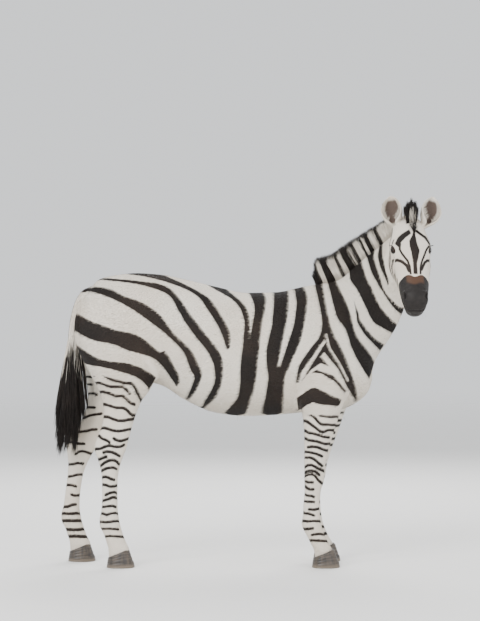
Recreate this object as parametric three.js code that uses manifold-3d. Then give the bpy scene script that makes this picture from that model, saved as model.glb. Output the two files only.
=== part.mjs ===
// A plains zebra as a still, life-size model: it stands square on the floor, its far hind foot set back,
// with the neck bent to its right and the head turned to look out to that side.
// Millimetres. +X is the way the body faces, +Y its left side, +Z up, and the floor is z = 0.
import * as THREE from "three";
import { mergeVertices } from "three/addons/utils/BufferGeometryUtils.js";
import Module from "manifold-3d";

const wasm = await Module();
wasm.setup();

// ---- driving sizes ------------------------------------------------------------------------------
const GAP = 0.3; // what two touching nodes keep between them
const FOOT_Y = 122; // from the mid plane to the middle of a foot
const FORE_STEP = 14; // how far the left fore foot stands ahead of the right one
const FOREARM_STEP = 28; // how much further ahead its forearm is
const HIND_STEP = -196; // how far the left hind foot stands behind the right one
const FETLOCK_Z = 60; // a leg that is swung is shifted in full from here down
const HIP_Z = 1080; // the hind legs swing from this height
const SHOULDER_Z = 1060; // and the fore legs from this one
const FORE_TOP_Z = 940; // the legs' solids end here, inside the trunk
const HIND_TOP_Z = 1236;
const LEG_FOOT_Z = 34; // and start here, under the coronet
const CUT_LAP = 60; // how far a leg's solid runs past its cut

const FORE_CUT_Z = 694; // where a foreleg leaves the torso
const HIND_CUT_Z = 826;

const POLL = new THREE.Vector3(872, -196, 1546); // between the ears, inside the head
const HEAD_PITCH = 47; // degrees that the face dips under the horizon
const HEAD_TURN = 88; // degrees that the head has turned from straight ahead to its right

const EYE_R = 21.5;
const EYE_ALONG = 163;
const EYE_ACROSS = 66;
const EYE_UP = 35;
const LID_THICK = 4.5;

const EAR_LONG = 135;
const EAR_WIDE = 96;
const EAR_THICK = 5;
const EAR_LEAN = 0.21; // how far each ear leans outwards
const EAR_SWING = 0.08; // and how far both lean to its left

const MANE_TALL = 142;
const LOCK_WIDE = 42;
const LOCK_THICK = 14;
const LOCK_TAPER = [
  // how far along a lock, and how wide it is there
  [0, 0.8],
  [0.42, 1],
  [0.84, 0.74],
  [1, 0.16],
];

// ---- curves and rings ---------------------------------------------------------------------------
const clamp01 = (t) => Math.min(1, Math.max(0, t));
const ease = (t) => clamp01(t) ** 2 * (3 - 2 * clamp01(t));
const radians = THREE.MathUtils.degToRad;

// Rows of numbers, each starting with its place, as a smooth function of that place that never overshoots.
function smoothRows(rows) {
  const at = rows.map((r) => r[0]);
  const last = rows.length - 1;
  const slope = (i, c) => (rows[i + 1][c] - rows[i][c]) / (at[i + 1] - at[i]);
  const tangent = (i, c) => {
    if (i === 0) return slope(0, c);
    if (i === last) return slope(last - 1, c);
    const before = slope(i - 1, c);
    const after = slope(i, c);
    return before * after <= 0 ? 0 : (2 * before * after) / (before + after);
  };
  return (place) => {
    const x = Math.min(at[last], Math.max(at[0], place));
    let i = 0;
    while (i < last - 1 && x > at[i + 1]) i++;
    const span = at[i + 1] - at[i];
    const t = (x - at[i]) / span;
    return rows[i].map((low, c) => {
      if (c === 0) return x;
      const high = rows[i + 1][c];
      const rise = (2 * t - 3) * t * t;
      return (
        low * (1 + rise) -
        high * rise +
        span * t * (1 - t) * ((1 - t) * tangent(i, c) - t * tangent(i + 1, c))
      );
    });
  };
}

// count + 1 places from low to high, closer together towards the ends that are named round.
function places(low, high, count, round = "none") {
  return Array.from({ length: count + 1 }, (_, i) => {
    let t = i / count;
    if (round === "both") t = (1 - Math.cos(Math.PI * t)) / 2;
    if (round === "high") t = Math.sin((Math.PI / 2) * t);
    return low + (high - low) * t;
  });
}

// How far a body's muscles and hollows lift its surface at p. Each bump is [centre, reach, lift], and is
// alike on both sides.
function lifted(bumps, p) {
  let sum = 0;
  for (const [centre, reach, lift] of bumps) {
    const d =
      ((p[0] - centre[0]) / reach[0]) ** 2 +
      ((Math.abs(p[1]) - centre[1]) / reach[1]) ** 2 +
      ((p[2] - centre[2]) / reach[2]) ** 2;
    sum += lift * Math.exp(-d);
  }
  return sum;
}

// One ring round a body: top and bottom heights, half width, the height of the widest place and how square
// the two halves are.
function ringAt(along, shape, sides, bumps, grow) {
  const [top, bottom, half, mid, squareTop, squareBottom] = shape;
  return Array.from({ length: sides }, (_, k) => {
    const angle = (2 * Math.PI * k) / sides;
    const s = Math.sin(angle);
    const c = Math.cos(angle);
    const power = 2 / (c >= 0 ? squareTop : squareBottom);
    const tall = c >= 0 ? top - mid : mid - bottom;
    const u = half * Math.sign(s) * Math.abs(s) ** power;
    const v = mid + tall * Math.sign(c) * Math.abs(c) ** power;
    const out = new THREE.Vector2(u / half ** 2, (v - mid) / tall ** 2).normalize();
    const lift = lifted(bumps, [along, u, v]) + grow;
    return [along, u + out.x * lift, v + out.y * lift];
  });
}

// The closed solid whose surface runs over a row of rings of points.
function overRings(rings) {
  const sides = rings[0].length;
  const points = rings.flat();
  const faces = [];
  for (let i = 0; i + 1 < rings.length; i++)
    for (let j = 0; j < sides; j++) {
      const a = i * sides + j;
      const b = i * sides + ((j + 1) % sides);
      faces.push(a, b, a + sides, b, b + sides, a + sides);
    }
  const cover = (first, turn) => {
    const ring = points.slice(first, first + sides);
    const middle = ring.reduce((sum, p) => sum.add(p), new THREE.Vector3());
    const centre = points.push(middle.divideScalar(sides)) - 1;
    for (let j = 0; j < sides; j++) {
      const edge = [first + j, first + ((j + 1) % sides)];
      faces.push(centre, edge[turn], edge[1 - turn]);
    }
  };
  cover(0, 1);
  cover((rings.length - 1) * sides, 0);
  return solidOf(points.flatMap((p) => [p.x, p.y, p.z]), faces);
}

// ---- solids -------------------------------------------------------------------------------------
function solidOf(coordinates, faces) {
  const make = (triVerts) =>
    new wasm.Manifold(
      new wasm.Mesh({
        numProp: 3,
        vertProperties: new Float32Array(coordinates),
        triVerts: new Uint32Array(triVerts),
      }),
    );
  const made = make(faces);
  return made.volume() > 0 ? made : make([...faces].reverse());
}

function solidFrom(geometry) {
  const bare = geometry.clone();
  bare.deleteAttribute("normal");
  bare.deleteAttribute("uv");
  const merged = mergeVertices(bare, 1e-3);
  return solidOf([...merged.attributes.position.array], [...merged.index.array]);
}

function geometryOf(solid) {
  const mesh = solid.getMesh();
  const bare = new THREE.BufferGeometry();
  bare.setAttribute("position", new THREE.BufferAttribute(mesh.vertProperties, 3));
  bare.setIndex(new THREE.BufferAttribute(mesh.triVerts, 1));
  const flat = bare.toNonIndexed();
  flat.computeVertexNormals();
  return flat;
}

const joined = (...solids) => wasm.Manifold.union(solids);

const largest = (solid) =>
  solid.decompose().reduce((a, b) => (a.volume() > b.volume() ? a : b));

// The part of a solid on the side of a plane that its normal points to, half a gap clear of it.
function beyond(solid, plane) {
  const n = plane.normal;
  return solid.trimByPlane([n.x, n.y, n.z], -plane.constant + GAP / 2);
}

const flipped = (plane) => plane.clone().negate();

function planeAt(point, normal) {
  return new THREE.Plane().setFromNormalAndCoplanarPoint(
    new THREE.Vector3(...normal).normalize(),
    new THREE.Vector3(...point),
  );
}

// A flat, tapered lock of hair. It starts at root, leaves along way and bends by bend at its tip.
function lock({ root, way, across, long, wide, thick, bend }) {
  const flat = new THREE.Vector3().crossVectors(way, across).normalize();
  const rings = [];
  for (const [t, full] of LOCK_TAPER) {
    const middle = root.clone().addScaledVector(way, long * t).addScaledVector(bend, t * t);
    const side = across.clone().multiplyScalar((wide / 2) * full);
    const face = flat.clone().multiplyScalar((thick / 2) * full);
    rings.push([
      middle.clone().add(side),
      middle.clone().add(face),
      middle.clone().sub(side),
      middle.clone().sub(face),
    ]);
  }
  return overRings(rings);
}

// Draws from 0 to 1 that come out the same each time.
function seeded(seed) {
  let state = seed;
  return () => {
    state = (Math.imul(state, 1664525) + 1013904223) >>> 0;
    return state / 2 ** 32;
  };
}

// ---- torso --------------------------------------------------------------------------------------
// x, back, belly, half width, height of the widest place, squareness above and below it
const TORSO = [
  [-630, 1186, 1090, 40, 1140, 2, 2],
  [-616, 1228, 1030, 92, 1146, 2, 2],
  [-585, 1275, 955, 140, 1145, 2, 2],
  [-533, 1324, 895, 182, 1130, 2, 2],
  [-449, 1343, 865, 210, 1110, 2.1, 2],
  [-366, 1350, 852, 222, 1090, 2.1, 2],
  [-255, 1343, 828, 226, 1060, 2.1, 2.1],
  [-139, 1320, 757, 236, 1020, 2.1, 2.1],
  [0, 1287, 700, 246, 985, 2.1, 2.1],
  [145, 1259, 684, 246, 965, 2.1, 2.1],
  [282, 1262, 690, 232, 955, 2.1, 2.1],
  [415, 1289, 702, 196, 950, 1.8, 2.1],
  [516, 1300, 705, 176, 940, 1.7, 2.1],
  [600, 1240, 722, 158, 930, 1.9, 2.1],
  [668, 1120, 760, 130, 915, 2, 2],
  [704, 1020, 800, 94, 895, 2, 2],
  [721, 930, 848, 40, 890, 2, 2],
];
const TORSO_BUMPS = [
  [[430, 150, 1180], [95, 80, 110], 12], // shoulder blade
  [[620, 150, 930], [70, 60, 70], 16], // point of the shoulder
  [[450, 190, 900], [80, 60, 90], 14], // upper arm
  [[520, 130, 1080], [22, 90, 130], -5], // the groove before the shoulder blade
  [[-300, 170, 1250], [60, 70, 60], 10], // point of the hip
  [[-470, 190, 1120], [120, 80, 120], 14], // haunch
  [[-205, 200, 1040], [60, 60, 110], -9], // flank
  [[690, 52, 850], [45, 34, 60], 9], // breast muscles
  [[725, 0, 850], [40, 18, 70], -6],
  [[330, 200, 800], [60, 70, 60], -6], // behind the elbow
];

function torsoSolid(grow = 0) {
  const row = smoothRows(TORSO);
  const stations = places(TORSO[0][0], TORSO.at(-1)[0], 26, "both");
  return overRings(
    stations.map((x) =>
      ringAt(x, row(x).slice(1), 28, TORSO_BUMPS, grow).map((p) => new THREE.Vector3(...p)),
    ),
  );
}

// ---- legs ---------------------------------------------------------------------------------------
// height, back edge, front edge, middle across, half thickness, all for the right leg
const FORE_LEG = [
  [40, 452, 544, FOOT_Y, 36],
  [80, 447, 536, FOOT_Y, 41],
  [112, 431, 518, FOOT_Y, 34],
  [150, 412, 500, FOOT_Y, 31],
  [180, 396, 489, FOOT_Y, 36],
  [205, 391, 484, FOOT_Y, 37],
  [240, 397, 479, FOOT_Y, 31],
  [290, 399, 477, FOOT_Y, 28],
  [345, 404, 482, FOOT_Y, 32],
  [375, 404, 490, FOOT_Y, 40],
  [410, 403, 496, FOOT_Y, 43],
  [450, 403, 501, FOOT_Y, 41],
  [514, 403, 513, FOOT_Y, 45],
  [599, 403, 536, 121, 57],
  [660, 399, 556, 119, 68],
  [722, 392, 578, 116, 79],
  [800, 372, 612, 112, 88],
  [880, 352, 650, 108, 88],
  [960, 350, 640, 104, 80],
];
const FORE_BUMPS = [
  [[FOOT_Y + 40, 418, 412], [16, 22, 24], 4], // bone at the back of the knee
  [[FOOT_Y, 494, 405], [40, 20, 30], 4], // front of the knee
  [[FOOT_Y, 395, 770], [50, 30, 40], 10], // point of the elbow
];
const HIND_LEG = [
  [40, -492, -388, FOOT_Y, 36],
  [80, -493, -392, FOOT_Y, 41],
  [115, -502, -408, FOOT_Y, 34],
  [158, -517, -424, FOOT_Y, 32],
  [192, -533, -434, FOOT_Y, 37],
  [220, -534, -440, FOOT_Y, 37],
  [260, -525, -445, FOOT_Y, 31],
  [330, -522, -447, FOOT_Y, 29],
  [400, -523, -446, FOOT_Y, 32],
  [455, -530, -438, FOOT_Y, 38],
  [500, -543, -424, FOOT_Y, 41],
  [540, -551, -408, FOOT_Y, 42],
  [578, -549, -398, FOOT_Y, 42],
  [622, -535, -386, FOOT_Y, 46],
  [670, -522, -372, 123, 53],
  [722, -516, -354, 124, 63],
  [766, -522, -334, 125, 74],
  [811, -536, -300, 125, 85],
  [882, -574, -268, 124, 98],
  [947, -609, -256, 121, 108],
  [1012, -637, -258, 117, 113],
  [1071, -651, -272, 112, 113],
  [1124, -649, -300, 104, 108],
  [1189, -632, -340, 92, 96],
  [1250, -590, -400, 76, 72],
];
const HIND_BUMPS = [
  [[FOOT_Y, 552, 548], [24, 26, 34], 6], // point of the hock
  [[FOOT_Y, 500, 640], [60, 34, 60], -7], // the hollow before the tendon
];
const HOOF = [
  // height, back edge, front edge, half thickness
  [0, 0, 128, 52],
  [8, 1, 128, 53],
  [40, 6, 117, 48],
  [70, 12, 107, 44],
  [96, 16, 97, 41],
];
const HOOF_HEIGHTS = [0, 5, 20, 45, 70, 96];
const HEEL_SQUARE = 0.72;
const SOLE_BEVEL = 1.5;
const FORE_HOOF_X = 440;
const HIND_HOOF_X = -499;

// How far forward the left fore leg is at a height: its forearm more than its foot.
const foreShift = (z) =>
  FORE_STEP * swung(z, SHOULDER_Z) +
  FOREARM_STEP * ease((z - 330) / 350) * (1 - 0.5 * ease((z - 720) / 240));
const hindShift = (z) => HIND_STEP * swung(z, HIP_Z);

// From 0 at the pivot that a leg swings from to 1 at its foot.
function swung(z, pivot) {
  return ease((pivot - z) / (pivot - FETLOCK_Z) / 0.86) ** 0.7;
}

// A leg by level rings: back and front edges, its middle across and its thickness.
function legSolid(rows, bumps, count, { side, shiftAt, low, high, grow = 0 }) {
  const row = smoothRows(rows);
  const sides = 16;
  const rings = places(low, high, count).map((z) => {
    const [, back, front, across, half] = row(z);
    const shift = side > 0 ? shiftAt(z) : 0;
    const middle = (back + front) / 2;
    const deep = (front - back) / 2;
    return Array.from({ length: sides }, (_, k) => {
      const angle = (2 * Math.PI * k) / sides;
      const x = middle + deep * Math.cos(angle);
      const y = across + half * Math.sin(angle);
      const lift = lifted(bumps, [y, x, z]) + grow;
      return new THREE.Vector3(
        x + shift + lift * Math.cos(angle),
        side * (y + lift * Math.sin(angle)),
        z,
      );
    });
  });
  return overRings(rings);
}

const foreLeg = (side, low, high, count, grow) =>
  legSolid(FORE_LEG, FORE_BUMPS, count, { side, shiftAt: foreShift, low, high, grow });

const hindLeg = (side, low, high, count, grow) =>
  legSolid(HIND_LEG, HIND_BUMPS, count, { side, shiftAt: hindShift, low, high, grow });

function hoofSolid(x, y) {
  const row = smoothRows(HOOF);
  const sides = 16;
  const rings = HOOF_HEIGHTS.map((z) => {
    const [, back, front, half] = row(z);
    return Array.from({ length: sides }, (_, k) => {
      const angle = (2 * Math.PI * k) / sides;
      const c = Math.cos(angle);
      const heel = c < 0 ? -(Math.abs(c) ** HEEL_SQUARE) : c;
      const bevel = z === 0 ? SOLE_BEVEL : 0;
      return new THREE.Vector3(
        x + (back + front) / 2 + ((front - back) / 2 - bevel) * heel,
        y + (half - bevel) * Math.sin(angle),
        z,
      );
    });
  });
  return overRings(rings);
}

// ---- neck ---------------------------------------------------------------------------------------
// place along it, crest x y z, throat x y z, half width
const NECK = [
  [0, 400, 0, 1262, 560, 0, 760, 118],
  [0.14, 505, 0, 1300, 700, 0, 880, 138],
  [0.28, 575, -8, 1325, 760, -15, 980, 118],
  [0.42, 632, -24, 1374, 802, -35, 1045, 100],
  [0.56, 690, -48, 1424, 838, -62, 1115, 88],
  [0.7, 748, -80, 1470, 866, -92, 1195, 80],
  [0.82, 796, -108, 1512, 882, -118, 1290, 75],
  [0.92, 836, -134, 1546, 887, -138, 1385, 70],
  [1, 864, -152, 1568, 888, -150, 1432, 62],
];
const neckRow = smoothRows(NECK);
const crest = (t) => new THREE.Vector3(...neckRow(t).slice(1, 4));
const throat = (t) => new THREE.Vector3(...neckRow(t).slice(4, 7));

// The neck's own directions at a place along it: up to the crest, left across it and on towards the head.
function neckFrame(t) {
  const centreAt = (at) => crest(at).add(throat(at)).multiplyScalar(0.5);
  const up = crest(t).sub(throat(t)).multiplyScalar(0.5);
  const on = centreAt(Math.min(1, t + 0.03)).sub(centreAt(Math.max(0, t - 0.03))).normalize();
  const left = new THREE.Vector3().crossVectors(up, on).normalize();
  return { centre: centreAt(t), up, left, on };
}

function neckSolid() {
  const sides = 20;
  return overRings(
    places(0, 1, 16).map((t) => {
      const { centre, up, left } = neckFrame(t);
      const half = neckRow(t)[7];
      return Array.from({ length: sides }, (_, k) => {
        const angle = (2 * Math.PI * k) / sides;
        const c = Math.cos(angle);
        const s = Math.sin(angle);
        const narrow = 1 - 0.32 * ease(c) ** 2 - 0.12 * ease(-c);
        return centre
          .clone()
          .addScaledVector(up, c)
          .addScaledVector(left, half * s * narrow);
      });
    }),
  );
}

// The mane: flat locks in rows along the crest, upright, each sunk into the neck at its root.
function maneLocks() {
  const draw = seeded(7);
  const rows = [-1, 1];
  const inRow = 19;
  const locks = [];
  for (const row of rows)
    for (let i = 0; i < inRow; i++) {
      const t = 0.1 + 0.84 * ((i + 0.5 + 0.25 * row + 0.3 * (draw() - 0.5)) / inRow);
      const { up, left, on } = neckFrame(t);
      const rise = up.clone().normalize();
      const grown = ease((t - 0.02) / 0.14);
      const lower = 0.6 * (1 - ease((t - 0.07) / 0.08)) + 0.48 * t;
      const tall = MANE_TALL * (1 - lower) * (0.92 + 0.16 * draw());
      const lean = 0.12 * (draw() - 0.5);
      const way = rise
        .clone()
        .addScaledVector(left, 0.07 * row)
        .addScaledVector(on, lean - 0.1 + 0.2 * grown * (1 - t))
        .normalize();
      const across = on.clone().addScaledVector(way, -on.dot(way)).normalize();
      locks.push(
        lock({
          root: crest(t).addScaledVector(rise, -16).addScaledVector(left, 8 * row),
          way,
          across,
          long: tall + 14 - Math.abs(row) * 10,
          wide: LOCK_WIDE * (0.9 + 0.3 * draw()),
          thick: LOCK_THICK,
          bend: across.clone().multiplyScalar(10 * (draw() - 0.65)),
        }),
      );
    }
  return locks;
}

// ---- head ---------------------------------------------------------------------------------------
// Along the face from the poll to the lips, across to the head's left, and up out of the face.
const AHEAD = new THREE.Vector3(Math.cos(radians(HEAD_TURN)), -Math.sin(radians(HEAD_TURN)), 0);
const UPRIGHT = new THREE.Vector3(0, 0, 1);
const ALONG = AHEAD.clone()
  .multiplyScalar(Math.cos(radians(HEAD_PITCH)))
  .addScaledVector(UPRIGHT, -Math.sin(radians(HEAD_PITCH)));
const LEFT = new THREE.Vector3().crossVectors(UPRIGHT, AHEAD);
const RISE = new THREE.Vector3().crossVectors(ALONG, LEFT);

const headWay = (along, across, up) =>
  new THREE.Vector3()
    .addScaledVector(ALONG, along)
    .addScaledVector(LEFT, across)
    .addScaledVector(RISE, up);
const headPoint = (along, across, up) => headWay(along, across, up).add(POLL);

// along, top of the face, underside, half width, height of the widest place, squareness above and below
const HEAD = [
  [-64, 12, -34, 30, -8, 2, 2],
  [-56, 28, -52, 48, -8, 2, 2],
  [-36, 46, -72, 62, -5, 2.1, 2],
  [0, 62, -100, 72, 0, 2.2, 2],
  [40, 72, -130, 78, 4, 2.3, 2.2],
  [80, 78, -158, 83, 8, 2.4, 2.5],
  [120, 82, -176, 87, 12, 2.4, 2.8],
  [163, 82, -177, 89, 14, 2.4, 2.8],
  [200, 78, -164, 87, 12, 2.2, 2.6],
  [240, 72, -144, 83, 6, 2, 2.3],
  [290, 64, -120, 77, 0, 1.9, 2.2],
  [340, 55, -101, 71, -6, 1.9, 2.2],
  [380, 48, -93, 66, -10, 2, 2.2],
  [415, 43, -91, 60, -12, 2.1, 2.2],
  [440, 37, -92, 54, -15, 2.1, 2.1],
  [458, 26, -89, 48, -20, 2.1, 2.1],
  [472, 9, -80, 40, -28, 2, 2],
  [480, -14, -64, 24, -38, 2, 2],
];
const HEAD_BUMPS = [
  [[150, 72, 62], [34, 22, 22], 9], // brow over the eye
  [[105, 60, 66], [30, 22, 22], -8], // the hollow behind the brow
  [[118, 88, 14], [44, 16, 16], 7], // cheek arch
  [[205, 84, 20], [22, 22, 18], -7], // before the eye
  [[238, 78, -14], [60, 18, 12], 5], // ridge of the cheek
  [[300, 68, -34], [70, 20, 26], -5], // hollow of the cheek
  [[132, 80, -94], [60, 28, 56], 10], // chewing muscle
  [[54, 74, -76], [26, 26, 64], -7], // behind the jaw
  [[300, 20, 64], [120, 16, 16], 3], // bones of the nose
  [[426, 50, 28], [18, 16, 14], 8], // wing of the nostril
  [[446, 40, -4], [22, 20, 14], 6], // upper lip
  [[452, 0, 0], [26, 12, 22], -4],
  [[448, 24, -76], [22, 26, 18], 5], // chin
  [[404, 40, -92], [16, 30, 18], -6], // behind the chin
];

function headSolid(grow = 0) {
  const row = smoothRows(HEAD);
  const stations = [...places(-64, 400, 19), ...places(400, 480, 7, "high").slice(1)];
  return overRings(
    stations.map((along) =>
      ringAt(along, row(along).slice(1), 28, HEAD_BUMPS, grow).map((p) => headPoint(...p)),
    ),
  );
}

// A block with its middle at a point, its first two axes along the two directions given.
function placedSolid(geometry, middle, first, second) {
  const third = new THREE.Vector3().crossVectors(first, second);
  const turned = new THREE.Matrix4().makeBasis(first, second, third).setPosition(middle);
  return solidFrom(geometry.clone().applyMatrix4(turned));
}

// The line of the mouth: a thin curved slit from corner to corner, no deeper than the lips.
const MOUTH = { corner: 376, end: 500, half: 80, slit: 3.4, deep: 13 };

function mouthSlit() {
  const rings = places(MOUTH.corner, MOUTH.end, 10).map((along) => {
    const past = along - MOUTH.corner;
    const level = -34 + 14 * ease(past / 60) - 10 * ease((along - 440) / 45);
    const open = MOUTH.slit * (0.25 + 0.75 * ease(past / 30));
    return [
      [-MOUTH.half, open],
      [MOUTH.half, open],
      [MOUTH.half, -open],
      [-MOUTH.half, -open],
    ].map(([across, up]) => headPoint(along, across, level + up / 2));
  });
  return overRings(rings).subtract(headSolid(-MOUTH.deep));
}

// A nostril: a slanting oval hollow, wider at its upper end.
const NOSTRIL = { long: 16, wide: 7.5, deep: 14 };

function nostril(side) {
  const shape = new THREE.SphereGeometry(1, 10, 6).scale(NOSTRIL.long, NOSTRIL.wide, NOSTRIL.deep);
  const first = headWay(0.78, -0.12 * side, -0.6).normalize();
  const inward = headWay(-0.45, -0.8 * side, -0.4);
  const deep = inward.addScaledVector(first, -inward.dot(first)).normalize();
  const second = new THREE.Vector3().crossVectors(first, deep);
  return placedSolid(shape, headPoint(437, 49 * side, 20), first, second);
}

// ---- eyes ---------------------------------------------------------------------------------------
const eyeMiddle = (side) => headPoint(EYE_ALONG, EYE_ACROSS * side, EYE_UP);
const gaze = (side) => headWay(0.42, 0.86 * side, 0.22).normalize();
const eyeCorners = (side) => {
  const slope = headWay(0.96, 0, 0.25);
  return slope.addScaledVector(gaze(side), -slope.dot(gaze(side))).normalize();
};

function eyeBall(side, radius, back) {
  const ball = new THREE.SphereGeometry(radius, 14, 9);
  const solid = placedSolid(ball, eyeMiddle(side), eyeCorners(side), gaze(side));
  const behind = eyeMiddle(side).addScaledVector(gaze(side), back);
  return solid.trimByPlane(gaze(side).toArray(), gaze(side).dot(behind));
}

// The space between the lids: a wedge whose two faces are the edges of the upper and the lower lid.
const UPPER_LID = radians(41);
const LOWER_LID = radians(34);

function lidOpening(side) {
  const reach = 46;
  const almond = [
    // along the opening, and how far open it is there
    [-27, 0.12],
    [-13, 0.8],
    [1, 1],
    [15, 0.72],
    [27, 0.1],
  ];
  const corners = eyeCorners(side);
  const out = gaze(side);
  const up = new THREE.Vector3().crossVectors(corners, out).multiplyScalar(side);
  const apex = eyeMiddle(side).addScaledVector(out, 6);
  const fan = [
    [0, 0],
    [reach, reach * Math.tan(UPPER_LID)],
    [reach, -reach * Math.tan(LOWER_LID)],
  ];
  const rings = almond.map(([shift, open]) =>
    fan.map(([far, high]) =>
      apex
        .clone()
        .addScaledVector(corners, shift)
        .addScaledVector(out, far)
        .addScaledVector(up, Math.sign(up.dot(RISE)) * high * open),
    ),
  );
  return overRings(rings);
}

// ---- ears ---------------------------------------------------------------------------------------
// height, half width, how far round the cup reaches on each side
const EAR = [
  [-0.16, 0.2, 170],
  [0, 0.3, 168],
  [0.14, 0.38, 150],
  [0.3, 0.46, 122],
  [0.48, 0.5, 104],
  [0.66, 0.46, 90],
  [0.82, 0.34, 76],
  [0.94, 0.17, 66],
  [1, 0.05, 60],
];
const earRoot = (side) => headPoint(0, 71 * side + 9, 22);

function earSolid(side) {
  const rise = new THREE.Vector3(EAR_LEAN * side + EAR_SWING, 0.02, 0.98).normalize();
  const mouth = new THREE.Vector3(0.24 * side, -0.97, 0.06);
  mouth.addScaledVector(rise, -mouth.dot(rise)).normalize();
  const across = new THREE.Vector3().crossVectors(mouth, rise);
  const row = smoothRows(EAR);
  const inArc = 7;
  const rings = places(-0.16, 1, 9).map((t) => {
    const [, wide, round] = row(t);
    const half = EAR_WIDE * wide;
    const turn = radians(round);
    const radius = half / Math.sin(Math.min(turn, Math.PI / 2));
    const thick = Math.min(EAR_THICK, half * 0.6) * (t < 0.1 ? 1 + 3 * (0.1 - t) : 1);
    const lean = 18 * t * t;
    const middle = earRoot(side)
      .addScaledVector(rise, EAR_LONG * t)
      .addScaledVector(mouth, radius * 0.55 - lean * 0.4);
    const arc = (r, i) => {
      const angle = turn * ((2 * i) / (inArc - 1) - 1);
      return middle
        .clone()
        .addScaledVector(mouth, -r * Math.cos(angle))
        .addScaledVector(across, r * Math.sin(angle));
    };
    const outer = Array.from({ length: inArc }, (_, i) => arc(radius, i));
    const inner = Array.from({ length: inArc }, (_, i) => arc(radius - thick, inArc - 1 - i));
    return [...outer, ...inner];
  });
  return overRings(rings);
}

// The forelock: it carries the mane on over the poll and stands between the ears, its front falling over
// the brow.
const FORELOCK_TOP = 1684;
const FALL_TIP = headPoint(109, 14, 88);

function forelockLocks() {
  const draw = seeded(19);
  const topOf = smoothRows(HEAD);
  const count = 18;
  return Array.from({ length: count }, (_, i) => {
    const back = i / (count - 1);
    const row = (i % 3) - 1;
    const falls = i < 3;
    const along = 48 - 116 * back;
    const root = headPoint(along, 10 + 14 * row, topOf(along)[1] - 14);
    const upright = new THREE.Vector3(0.18 * row, -0.16 + 0.1 * back, 1).normalize();
    const way = falls ? headWay(0.7, 0, 0.62).normalize() : upright;
    const tipHigh = FORELOCK_TOP - 28 * Math.abs(row) - 14 * draw();
    const long = falls ? 84 : (tipHigh - root.z) / upright.z;
    const aside = new THREE.Vector3(8 * (draw() - 0.5), -8 * draw(), 0);
    return lock({
      root,
      way,
      across: new THREE.Vector3().crossVectors(way, AHEAD).normalize(),
      long,
      wide: (falls ? 20 : 28) + 8 * draw(),
      thick: 14,
      bend: falls ? FALL_TIP.clone().sub(root).addScaledVector(way, -long) : aside,
    });
  });
}

// ---- tail ---------------------------------------------------------------------------------------
// place along it, x, z, half thickness across, half thickness fore and aft
const DOCK = [
  [0, -560, 1262, 36, 30],
  [0.1, -596, 1250, 35, 30],
  [0.2, -626, 1214, 31, 28],
  [0.35, -650, 1146, 27, 25],
  [0.5, -664, 1075, 23, 22],
  [0.65, -671, 1005, 19, 18],
  [0.8, -672, 935, 15, 14],
  [0.93, -670, 880, 11, 10],
  [1, -669, 856, 6, 6],
];
const dockRow = smoothRows(DOCK);
const dockPoint = (t) => new THREE.Vector3(dockRow(t)[1], 0, dockRow(t)[2]);

function dockSolid() {
  const sides = 12;
  return overRings(
    places(0, 1, 14).map((t) => {
      const before = dockPoint(Math.max(0, t - 0.02));
      const on = dockPoint(Math.min(1, t + 0.02)).sub(before).normalize();
      const aft = new THREE.Vector3(on.z, 0, -on.x);
      const [, , , across, fore] = dockRow(t);
      return Array.from({ length: sides }, (_, k) => {
        const angle = (2 * Math.PI * k) / sides;
        return dockPoint(t)
          .addScaledVector(aft, fore * Math.cos(angle))
          .add(new THREE.Vector3(0, across * Math.sin(angle), 0));
      });
    }),
  );
}

// The switch: long locks round the lower dock that hang and end in a point.
function tailLocks() {
  const draw = seeded(31);
  const count = 20;
  const locks = [];
  for (let i = 0; i < count; i++) {
    const down = i / (count - 1);
    const t = 0.46 + 0.52 * down;
    const angle = i * 2.4;
    const out = new THREE.Vector3(Math.cos(angle), 0.72 * Math.sin(angle), 0);
    const [, , , across] = dockRow(t);
    const spread = 1 - 0.35 * down;
    const way = new THREE.Vector3(0.26 * out.x * spread, 0.22 * out.y * spread, -1).normalize();
    const side = new THREE.Vector3(-out.y, out.x, 0).normalize();
    const ends = 700 - 215 * down + 60 * (draw() - 0.5);
    const root = dockPoint(t).addScaledVector(out, across * 0.45);
    const long = root.z - ends;
    locks.push(
      lock({
        root,
        way,
        across: side,
        long,
        wide: 40 + 10 * draw(),
        thick: 18,
        bend: new THREE.Vector3(
          -out.x * 30 * spread + 10 * (draw() - 0.5) - 22 * down,
          -out.y * 26 * spread,
          0,
        ),
      }),
    );
  }
  return locks;
}

// ---- parting the body ---------------------------------------------------------------------------
const NECK_CUT = planeAt([462, 0, 1296], [0.765, 0, 0.644]);
const HEAD_CUT = planeAt(headPoint(-50, 0, -40).toArray(), headWay(0.6, 0, 0.8).toArray());
const FORE_CUT = planeAt([0, 0, FORE_CUT_Z], [0, 0, 1]);
const HIND_CUT = planeAt([0, 0, HIND_CUT_Z], [0, 0, 1]);
const coronet = (x) => planeAt([x + 14, 0, 52], [-0.368, 0, 0.93]);

const COAT = { color: 0xd9d2c4, roughness: 0.85, metalness: 0 };
const HORN = { color: 0x2b2622, roughness: 0.5, metalness: 0 };
const EYE = { color: 0x120c08, roughness: 0.08, metalness: 0 };

const nodes = new Map();
const keep = (name, solid, look = COAT) => nodes.set(name, { solid: largest(solid), look });

const SIDES = [
  ["left", 1],
  ["right", -1],
];

// The trunk with the upper parts of the four legs, or the same a little larger to cut its neighbours back.
function trunkSolid(grow = 0) {
  const uppers = SIDES.flatMap(([, side]) => [
    beyond(foreLeg(side, FORE_CUT_Z - CUT_LAP, FORE_TOP_Z, 8, grow), FORE_CUT),
    beyond(hindLeg(side, HIND_CUT_Z - CUT_LAP, HIND_TOP_Z, 10, grow), HIND_CUT),
  ]);
  return joined(torsoSolid(grow), ...uppers);
}

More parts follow.
